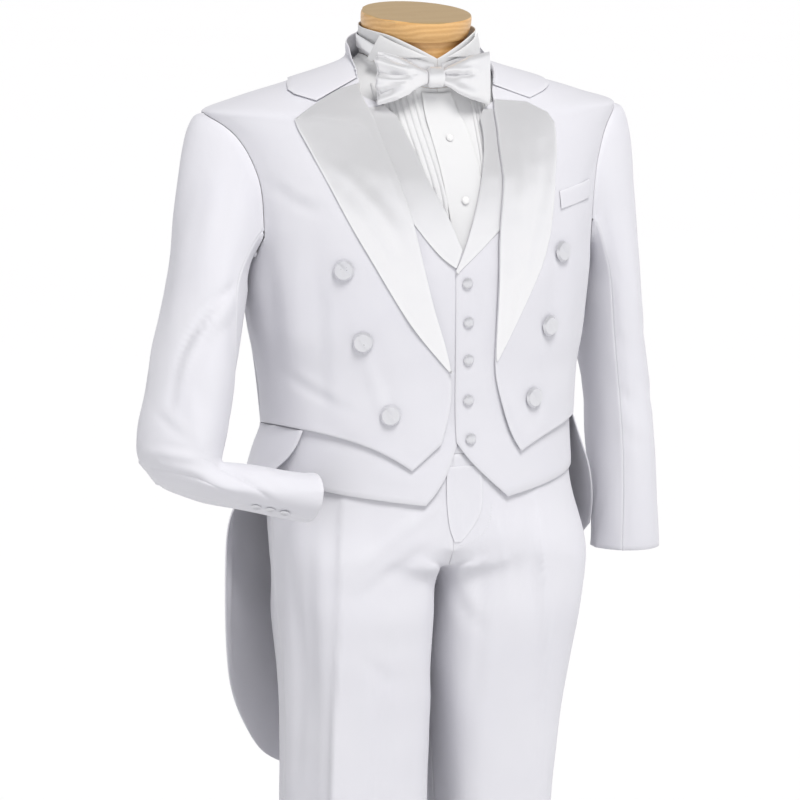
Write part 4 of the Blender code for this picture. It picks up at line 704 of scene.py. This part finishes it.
def eased(path, rounds=2):
    """A path with its corners cut, its ends kept."""
    path = np.array(path, float)
    for _ in range(rounds):
        a, b = path[:-1], path[1:]
        cut = np.stack([a * 0.75 + b * 0.25, a * 0.25 + b * 0.75], 1).reshape(-1, path.shape[1])
        path = np.concatenate([path[:1], cut, path[-1:]])
    return path


def beside(places, path):
    """Distance of places from a path in cm, its side, and the share along the path."""
    length = np.linalg.norm(np.diff(path, axis=0), axis=1)
    start = np.concatenate([[0.0], np.cumsum(length)])
    best = np.full(len(places), 1e9)
    side = np.zeros(len(places))
    share = np.zeros(len(places))
    for k in range(len(path) - 1):
        along = (path[k + 1] - path[k]) / max(length[k], 1e-9)
        offset = places - path[k]
        t = offset @ along
        held = np.clip(t, 0, length[k])
        gap = np.linalg.norm(offset - held[:, None] * along, axis=1)
        nearer = gap < best
        best = np.where(nearer, gap, best)
        side = np.where(nearer, np.sign(along[0] * offset[:, 1] - along[1] * offset[:, 0]), side)
        share = np.where(nearer, (start[k] + np.clip(t, 0, length[k])) / start[-1], share)
    return best, side, share


def crease(places, facing, depth, width, path, phase, slope=None):
    """Height of one soft uneven trough or ridge, with a weaker opposite form along one side, or of one
    pressed crease that falls away steeply on one side and gently on the other."""
    path = eased(path)
    gap, side, share = beside(places, path)
    gap = gap * CM / (width * MM)
    fade = np.sin(np.pi * np.clip(share, *END_SHARES)) ** END_FADE
    uneven = 1 + sum(size * np.sin(rate * share + turns * phase) for size, rate, turns in UNEVEN)
    sharp = np.exp(-PRESSED_FALL * gap)
    if slope is not None:
        form = np.where(side > 0, np.exp(-gap * width / slope), sharp)
    else:
        form = sharp if width < PRESSED_WIDTH else np.exp(-gap**2)
        form = form + BESIDE_SHARE * np.exp(-((gap * side - BESIDE_PLACE) ** 2))
    return depth * MM * form * fade * uneven * facing


def waves(points, length, seed):
    """Gentle unevenness of about one unit, made of sine waves of about the given length."""
    rng = np.random.default_rng(seed)
    total = np.zeros(len(points))
    for _ in range(WAVE_COUNT):
        way = rng.normal(size=3)
        way /= np.linalg.norm(way)
        turn = 2 * np.pi / (length * rng.uniform(*WAVE_RANGE))
        total += np.sin(points @ way * turn + rng.uniform(0, 6.28))
    return total / WAVE_COUNT**0.5


def creased(points, normals, node, seed):
    """Height of all of a piece's creases."""
    height = np.zeros(len(points))
    count = 0
    for (piece, eye), strokes in STROKES.items():
        if piece != node:
            continue
        places, toward = seen_by(eye, points)
        facing = np.clip((normals @ toward) / FACING, 0, 1)
        for depth, width, path, *slope in strokes:
            phase = seed + PHASE_STEP * count
            height += crease(places, facing, depth, width, path, phase, *slope)
            count += 1
    return height


# ---- materials ----
def new_material(name):
    """A material, its nodes, its shader and the place on the object."""
    material = bpy.data.materials.new(name)
    material.use_nodes = True
    tree = material.node_tree
    place = tree.nodes.new("ShaderNodeTexCoord").outputs["Object"]
    return material, tree, tree.nodes["Principled BSDF"], place


def add_node(tree, kind, **values):
    """A node with its settings; a value that is a socket is linked."""
    node = tree.nodes.new(kind)
    for key, value in values.items():
        if isinstance(value, bpy.types.NodeSocket):
            tree.links.new(value, node.inputs[key])
        elif key in node.inputs:
            node.inputs[key].default_value = value
        else:
            setattr(node, key, value)
    return node


def noise(tree, place, scale, detail):
    return add_node(tree, "ShaderNodeTexNoise", Vector=place, Scale=scale, Detail=detail).outputs["Fac"]


def mix_colours(tree, factor, low, high):
    mix = tree.nodes.new("ShaderNodeMix")
    mix.data_type = "RGBA"
    for socket, value in ((mix.inputs[6], low), (mix.inputs[7], high)):
        if isinstance(value, bpy.types.NodeSocket):
            tree.links.new(value, socket)
        else:
            socket.default_value = (*value, 1.0)
    tree.links.new(factor, mix.inputs[0])
    return mix.outputs[2]


def ranged(tree, value, low, high, **values):
    """A value, from 0 to 1 unless said otherwise, moved into a range."""
    values.update({"To Min": low, "To Max": high, "Value": value})
    return add_node(tree, "ShaderNodeMapRange", **values).outputs["Result"]


def finished(tree, shader, colour, rough=None, relief=None, **values):
    """The shader's colour, roughness, relief (height, strength, distance in mm) and constant values."""
    tree.links.new(colour, shader.inputs["Base Color"])
    if rough is not None:
        tree.links.new(rough, shader.inputs["Roughness"])
    if relief is not None:
        height, strength, distance = relief
        bump = add_node(tree, "ShaderNodeBump", Height=height, Strength=strength, Distance=distance * MM)
        tree.links.new(bump.outputs["Normal"], shader.inputs["Normal"])
    for key, value in values.items():
        shader.inputs[key].default_value = value


def fabric(name):
    colour, shade, rough, sheen, pitch, relief, slub = FABRICS[name]
    material, tree, shader, place = new_material(name)
    rate = 2 * math.pi / (10 * pitch * MM)
    threads = []
    for turn in ((0.0, 0.0, 0.0), (0.0, math.radians(90.0), math.radians(20.0))):
        turned = add_node(tree, "ShaderNodeMapping", Vector=place, Rotation=turn).outputs["Vector"]
        thread = add_node(
            tree, "ShaderNodeTexWave", Vector=turned, Scale=rate, Distortion=0.6, bands_direction="DIAGONAL"
        )
        threads.append(thread.outputs["Fac"])
    weave = add_node(tree, "ShaderNodeMath", operation="MULTIPLY")
    for k in (0, 1):
        tree.links.new(threads[k], weave.inputs[k])
    surface = add_node(tree, "ShaderNodeMath", operation="MULTIPLY_ADD")
    tree.links.new(noise(tree, place, 1400.0, 3.0), surface.inputs[0])
    surface.inputs[1].default_value = slub
    tree.links.new(weave.outputs[0], surface.inputs[2])
    base = mix_colours(tree, ranged(tree, noise(tree, place, 9.0, 3.0), 0.0, 0.8), colour, shade)
    # Painted shade: the weave's hollows are darkened towards the shade colour
    base = mix_colours(tree, ranged(tree, weave.outputs[0], 0.10, 0.0), base, shade)
    # Painted highlight: the colour is lightened along the outline and the rim, standing in for the sheen of
    # pressed edges
    edge = add_node(tree, "ShaderNodeAttribute", attribute_name="edge")
    edge_highlight = tuple(min(1.0, c * 1.04) for c in colour)
    base = mix_colours(tree, ranged(tree, edge.outputs["Fac"], 0.0, 0.5), base, edge_highlight)
    values = {"Sheen Weight": sheen, "Sheen Roughness": 0.45}
    values["Specular IOR Level"] = 0.5 if rough < 0.5 else 0.25
    if name in ("satin", "covered"):
        values.update({"Anisotropic": 0.45, "Metallic": 0.55})
    slubs = ranged(tree, noise(tree, place, 120.0, 2.0), rough - 0.06, rough + 0.06)
    finished(tree, shader, base, slubs, (surface.outputs[0], relief, 0.4), **values)
    return material


def varnished_wood():
    material, tree, shader, place = new_material("varnished_wood")
    grain = add_node(
        tree, "ShaderNodeMapping", Vector=place, Scale=(1.0, 3.5, 6.0), Rotation=(0.3, 0.15, 0.5)
    ).outputs["Vector"]
    values = {"Scale": 9.0, "Distortion": 5.0, "Detail": 3.0, "Detail Scale": 1.6, "wave_type": "RINGS"}
    rings = add_node(tree, "ShaderNodeTexWave", Vector=grain, **values).outputs["Fac"]
    pores = noise(tree, grain, 260.0, 4.0)
    cloud = noise(tree, grain, 14.0, 2.0)
    base = mix_colours(tree, rings, (0.74, 0.41, 0.145), (0.90, 0.56, 0.24))
    base = mix_colours(tree, ranged(tree, cloud, 0.0, 0.5), base, (0.80, 0.50, 0.20))
    base = mix_colours(tree, ranged(tree, pores, 0.35, 0.0), base, (0.30, 0.13, 0.04))
    normal = tree.nodes.new("ShaderNodeTexCoord").outputs["Normal"]
    facing = add_node(tree, "ShaderNodeSeparateXYZ", Vector=normal).outputs["Z"]
    top = ranged(tree, facing, 0.0, 0.82, **{"From Min": 0.55, "From Max": 0.92})
    base = mix_colours(tree, top, base, (0.40, 0.285, 0.135))
    values = {"Coat Weight": 0.12, "Coat Roughness": 0.25}
    finished(tree, shader, base, ranged(tree, pores, 0.32, 0.50), (pores, 0.12, 0.3), **values)
    return material


def painted_metal():
    material, tree, shader, place = new_material("painted_metal")
    grain = noise(tree, place, 700.0, 2.0)
    smudge = noise(tree, place, 12.0, 4.0)
    base = mix_colours(tree, smudge, (0.40, 0.40, 0.42), (0.47, 0.47, 0.49))
    finished(tree, shader, base, ranged(tree, smudge, 0.30, 0.48), (grain, 0.10, 0.2), Metallic=0.75)
    return material


def pearl():
    material, tree, shader, place = new_material("pearl")
    cloud = noise(tree, place, 420.0, 2.0)
    base = mix_colours(tree, cloud, (0.74, 0.74, 0.76), (0.88, 0.87, 0.85))
    finished(tree, shader, base, ranged(tree, cloud, 0.15, 0.28), **{"Coat Weight": 0.6})
    return material


MATERIALS = {name: fabric(name) for name in FABRICS}
MATERIALS["wood"] = varnished_wood()
MATERIALS["metal"] = painted_metal()
MATERIALS["pearl"] = pearl()


# ---- pieces ----
# The bow's creases: how far its surface must face the eye, their share behind, their unevenness's turn
BOW_FACING = 0.3
BOW_BEHIND = 0.4
BOW_PHASE_STEP = 0.7
# A covered button's pulls: height, number, and where they start, in radii
BUTTON_PULLS = (0.16 * MM, 9, 0.55)
# Its fold: height in radii, slant, width in radii, and how far the surface must face forward
BUTTON_FOLD = (0.10, 0.7, 0.24, -0.3)


def finish_piece(obj, node):
    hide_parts(node)
    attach(obj, "root")
    return obj


def cloth_piece(node, seed):
    """A cloth node's shell, its creases pressed in and its outline rolled under a little."""
    thick, steps, finish = SHEETS[node][3:6]
    points, tris = refined(*outer_wall(node), steps)
    if node.startswith(("trousers_front", "trousers_back")):
        level, half, rounds, (start, full) = EASED
        share = np.exp(-(((points[:, 2] - level) / half) ** 2))
        share *= np.clip((np.abs(points[:, 0]) - start) / (full - start), 0, 1)
        points = relaxed(points, tris, share, rounds)
    normals = point_normals(points, tris)
    gap = edge_distance(points, tris)
    rest = np.clip(gap / EDGE_FADE, 0, 1) ** 2
    height = creased(points, normals, node, seed) * (EDGE_KEEP + (1 - EDGE_KEEP) * rest) * RELIEF[finish]
    if finish in WAVES and steps > 2:
        size, length = WAVES[finish]
        height += size * MM * waves(points, length, seed) * rest
    sunk = SUNK.get(node.removesuffix("_left").removesuffix("_right"), 0.0) * MM
    height -= EDGE_ROLL * np.exp(-((gap / ROLL_WIDTH) ** 2)) + sunk
    points = points + normals * height[:, None]
    if node in SEWN:
        points = drawn_to_seam(points, tris, SEWN[node])
    if node in LAID:
        points = laid_on(points, node)
    walls[node] = (points, tris)
    shell, faces = thickened(points, tris, point_normals(points, tris), thick * MM)
    # Painted highlight: how near each point is to the outline, and full on the rim, for the lightened edge
    # colour
    edge = np.exp(-((gap / EDGE_HIGHLIGHT_WIDTH) ** 2))
    edge = np.concatenate([edge, edge, np.ones(len(shell) - 2 * len(edge))])
    return finish_piece(make_piece(f"{node}_cloth", shell.tolist(), faces.tolist(), finish, edge), node)


def solid_piece(node, finish, steps, height=None):
    """A node that keeps its solid's form, cut finer and smoothed between its sharp edges."""
    made = welded(node)
    points, tris = refined(*arrays(made, made.faces), steps, SHARP)
    made.free()
    if height is not None:
        normals = point_normals(points, tris)
        points = points + normals * height(node, points, normals)[:, None]
    obj = make_piece(f"{node}_piece", points.tolist(), tris.tolist(), finish)
    obj.data.set_sharp_from_angle(angle=SHARP)
    return finish_piece(obj, node)


def bow_height(node, points, normals):
    """Creases that fan out from the knot, on the side the front eye sees and, weaker, behind."""
    places, toward = seen_by("front", points)
    facing = np.clip((normals @ toward) / BOW_FACING, 0, 1)
    behind = BOW_BEHIND * np.clip(-(normals @ toward) / BOW_FACING, 0, 1)
    total = np.zeros(len(points))
    for k, (depth, width, path) in enumerate(BOW_STROKES[node]):
        total += crease(places, facing + behind, depth, width, path, BOW_PHASE_STEP * k)
    return total


def button_height(node, points, normals):
    """The stretched satin of a covered button: faint pulls towards its rim and a soft fold across it."""
    radius = 0.5 * max(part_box(node)[1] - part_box(node)[0])
    offset = points - points.mean(0)
    away = np.linalg.norm(offset, axis=1) / radius
    height, number, start = BUTTON_PULLS
    pulls = height * np.sin(number * np.arctan2(offset[:, 2], offset[:, 0])) * np.clip(away - start, 0, 1)
    height, slant, width, front = BUTTON_FOLD
    across = (offset[:, 0] + slant * offset[:, 2]) / radius
    fold = height * radius * np.exp(-((across / width) ** 2)) * np.clip(1 - away, 0, 1)
    return pulls + fold * (normals[:, 1] < front)


def wall_tree(node):
    points, tris = walls[node]
    return BVHTree.FromPolygons(points.tolist(), tris.tolist())


def ray_place(tree, across, up):
    """Where the front eye's line through a place in its plane first meets a surface, and the normal there."""
    aim = AIM + (across * RIGHT + up * UP) * CM
    hit, normal = tree.ray_cast(Vector(EYE_PLACE), Vector(aim - EYE_PLACE).normalized())[:2]
    return None if hit is None else (np.array(hit), np.array(normal))


def along_path(path, count):
    """Evenly spaced places along an eased path."""
    path = eased(path)
    length = np.concatenate([[0.0], np.cumsum(np.linalg.norm(np.diff(path, axis=0), axis=1))])
    wanted = np.linspace(0, length[-1], count)
    return np.stack([np.interp(wanted, length, path[:, k]) for k in range(2)], 1)


def tube_faces(start, rows, size, flip=False):
    """Sides and ends of a tube of rows of points, numbered from start."""
    faces = []
    for row in range(start, start + (rows - 1) * size, size):
        for k in range(size):
            a, b = row + k, row + (k + 1) % size
            faces.append((a, a + size, b + size, b) if flip else (a, b, b + size, a + size))
    first = list(range(start, start + size))
    last = [k + (rows - 1) * size for k in first]
    return faces + ([first, last[::-1]] if flip else [first[::-1], last])


def loose_piece(name, points, faces, finish):
    """A piece that lies on a cloth node, in the given finish, with its faces turned one way."""
    obj = make_piece(name, [tuple(p) for p in points], faces, finish)
    made = bmesh.new()
    made.from_mesh(obj.data)
    bmesh.ops.recalc_face_normals(made, faces=made.faces)
    made.to_mesh(obj.data)
    made.free()
    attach(obj, "root")
    return obj


def build_tucks(side):
    """Narrow pressed tucks, each a low folded ridge that stands a little proud along one edge."""
    node = f"shirt_front_{side}"
    tree = wall_tree(node)
    path, step, count = TUCKS[side]
    sign = 1 if step[0] > 0 else -1
    share, point_turn, tuck_turn = TUCK_WOBBLE
    points = []
    faces = []
    for k in range(count):
        start = len(points)
        rows = 0
        for place in along_path(path, TUCK_POINTS):
            met = ray_place(tree, *(place + np.array(step) * (k + TUCK_START)))
            if met is None:
                continue
            hit, normal = met
            across = RIGHT - normal * (RIGHT @ normal)
            across *= sign / np.linalg.norm(across)
            lift = TUCK_LIFT * (1 + share * math.sin(point_turn * rows + tuck_turn * k))
            points += [hit + across * s * TUCK_WIDTH + normal * r * lift for s, r in TUCK_SECTION]
            rows += 1
        faces += tube_faces(start, rows, len(TUCK_SECTION), sign > 0)
    return loose_piece(f"shirt_tucks_{side}", points, faces, "cotton")


def build_stitches(name, node, path):
    """A row of small stitches that lie in the cloth."""
    tree = wall_tree(node)
    length, thick, pitch = (v * MM for v in STITCH)
    total = np.linalg.norm(np.diff(eased(path), axis=0), axis=1).sum() * CM
    met = [ray_place(tree, *place) for place in along_path(path, max(4, int(total / pitch)))]
    points = []
    faces = []
    for here, ahead in zip(met, met[1:]):
        if here is None or ahead is None:
            continue
        hit, normal = here
        along = ahead[0] - hit
        along -= normal * (along @ normal)
        along /= np.linalg.norm(along)
        side = np.cross(normal, along)
        faces += tube_faces(len(points), len(STITCH_RINGS), STITCH_SIDES)
        for share, size in STITCH_RINGS:
            centre = hit + along * length * share + normal * thick * STITCH_LIFT
            for turn in np.arange(STITCH_SIDES) * 2 * math.pi / STITCH_SIDES:
                ray = side * math.cos(turn) + normal * STITCH_FLATNESS * math.sin(turn)
                points.append(centre + ray * thick / 2 * size)
    return loose_piece(name, points, faces, "satin")


walls = {}
cloth = {node: cloth_piece(node, k + 1) for k, node in enumerate(SHEETS)}

# Parts of the display form: finish, refinements
FORM = {
    "form_torso": ("canvas", 2),
    "form_neck_block": ("wood", 3),
    "form_neck_cap": ("wood", 3),
    "form_pole": ("metal", 2),
    "form_base": ("metal", 1),
}
solids = {node: solid_piece(node, "satin", 4, bow_height) for node in sorted(BOW_STROKES)}
solids["bow_tie_knot"] = solid_piece("bow_tie_knot", "satin", 3)
for node in sorted(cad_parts):
    if "button" in node:
        solids[node] = solid_piece(node, "covered", 3, button_height)
    elif "stud" in node:
        solids[node] = solid_piece(node, "pearl", 2)
for node, (finish, steps) in FORM.items():
    solids[node] = solid_piece(node, finish, steps)

tucks = {side: build_tucks(side) for side in ("right", "left")}
stitches = {name: build_stitches(name, node, path) for name, (node, path) in STITCH_ROWS.items()}

for node, obj in cloth.items():
    width, length, area, *_, held, carrier = SHEETS[node]


# ---- floor, light and camera ----
FLOOR_SIZE = 240.0
# Floor's painted shade by the object, its two pale colours far off, and the distances in m they fade between
FLOOR_PAINTED_SHADE = (0.74, 0.74, 0.745)
FLOOR_FAR = ((0.975, 0.975, 0.975), (0.985, 0.985, 0.985))
FLOOR_SHADE_FADE = {"From Min": 0.6, "From Max": 1.7}
# Room light: its colour, and its strength low and high, between two heights of the way looked along
ROOM_COLOUR = (0.965, 0.97, 1.0, 1.0)
ROOM_STRENGTH = (0.92, 0.34)
ROOM_FADE = {"From Min": 0.16, "From Max": 0.50}


def floor_material():
    material, tree, shader, place = new_material("floor")
    pale = mix_colours(tree, noise(tree, place, 0.8, 3.0), *FLOOR_FAR)
    reach = add_node(tree, "ShaderNodeVectorMath", operation="LENGTH", Vector=place).outputs["Value"]
    # Painted shade: a grey pool on the floor around the form, which also dims the light the floor throws back
    # up onto it
    fade = ranged(tree, reach, 0.0, 1.0, interpolation_type="SMOOTHSTEP", **FLOOR_SHADE_FADE)
    values = {"Roughness": 0.9, "Specular IOR Level": 0.1}
    finished(tree, shader, mix_colours(tree, fade, FLOOR_PAINTED_SHADE, pale), **values)
    return material


def aimed(obj, way):
    """Turn a light or camera to look along a way."""
    obj.rotation_mode = "QUATERNION"
    obj.rotation_quaternion = way.to_track_quat("-Z", "Y")


def key_light(turn, rise, power, spread):
    """A wide soft light from far off, at a turn and rise about the form, in degrees."""
    data = bpy.data.lights.new("key_light", "SUN")
    data.energy = power
    data.angle = math.radians(spread)
    data.color = (1.0, 0.99, 0.975)
    obj = placed("key_light", data)
    aimed(obj, Vector(-direction(math.radians(turn), math.radians(rise))))
    obj.visible_glossy = False


half = FLOOR_SIZE / 2
floor_mesh = bpy.data.meshes.new("floor")
floor_corners = [(-half, -half, 0), (half, -half, 0), (half, half, 0), (-half, half, 0)]
floor_mesh.from_pydata(floor_corners, [], [(0, 1, 2, 3)])
floor_mesh.materials.append(floor_material())
floor = placed("floor", floor_mesh)

bpy.context.scene.view_settings.view_transform = "Standard"
world = bpy.data.worlds.new("soft_room")
bpy.context.scene.world = world
world.use_nodes = True
room = world.node_tree
room_light = room.nodes["Background"]
room_light.inputs["Color"].default_value = ROOM_COLOUR
room_way = add_node(room, "ShaderNodeTexCoord").outputs["Generated"]
room_height = add_node(room, "ShaderNodeSeparateXYZ", Vector=room_way).outputs["Z"]
room_strength = ranged(room, room_height, *ROOM_STRENGTH, **ROOM_FADE)
room.links.new(room_strength, room_light.inputs["Strength"])
key_light(turn=3.0, rise=56.0, power=2.45, spread=24.0)

camera_data = bpy.data.cameras.new("camera")
camera_data.lens = CAMERA_LENS
camera_data.sensor_width = CAMERA_SENSOR
camera_data.clip_end = CAMERA_REACH
camera = placed("camera", camera_data)
camera.location = EYE_PLACE
aimed(camera, Vector(-TOWARD))
bpy.context.scene.camera = camera
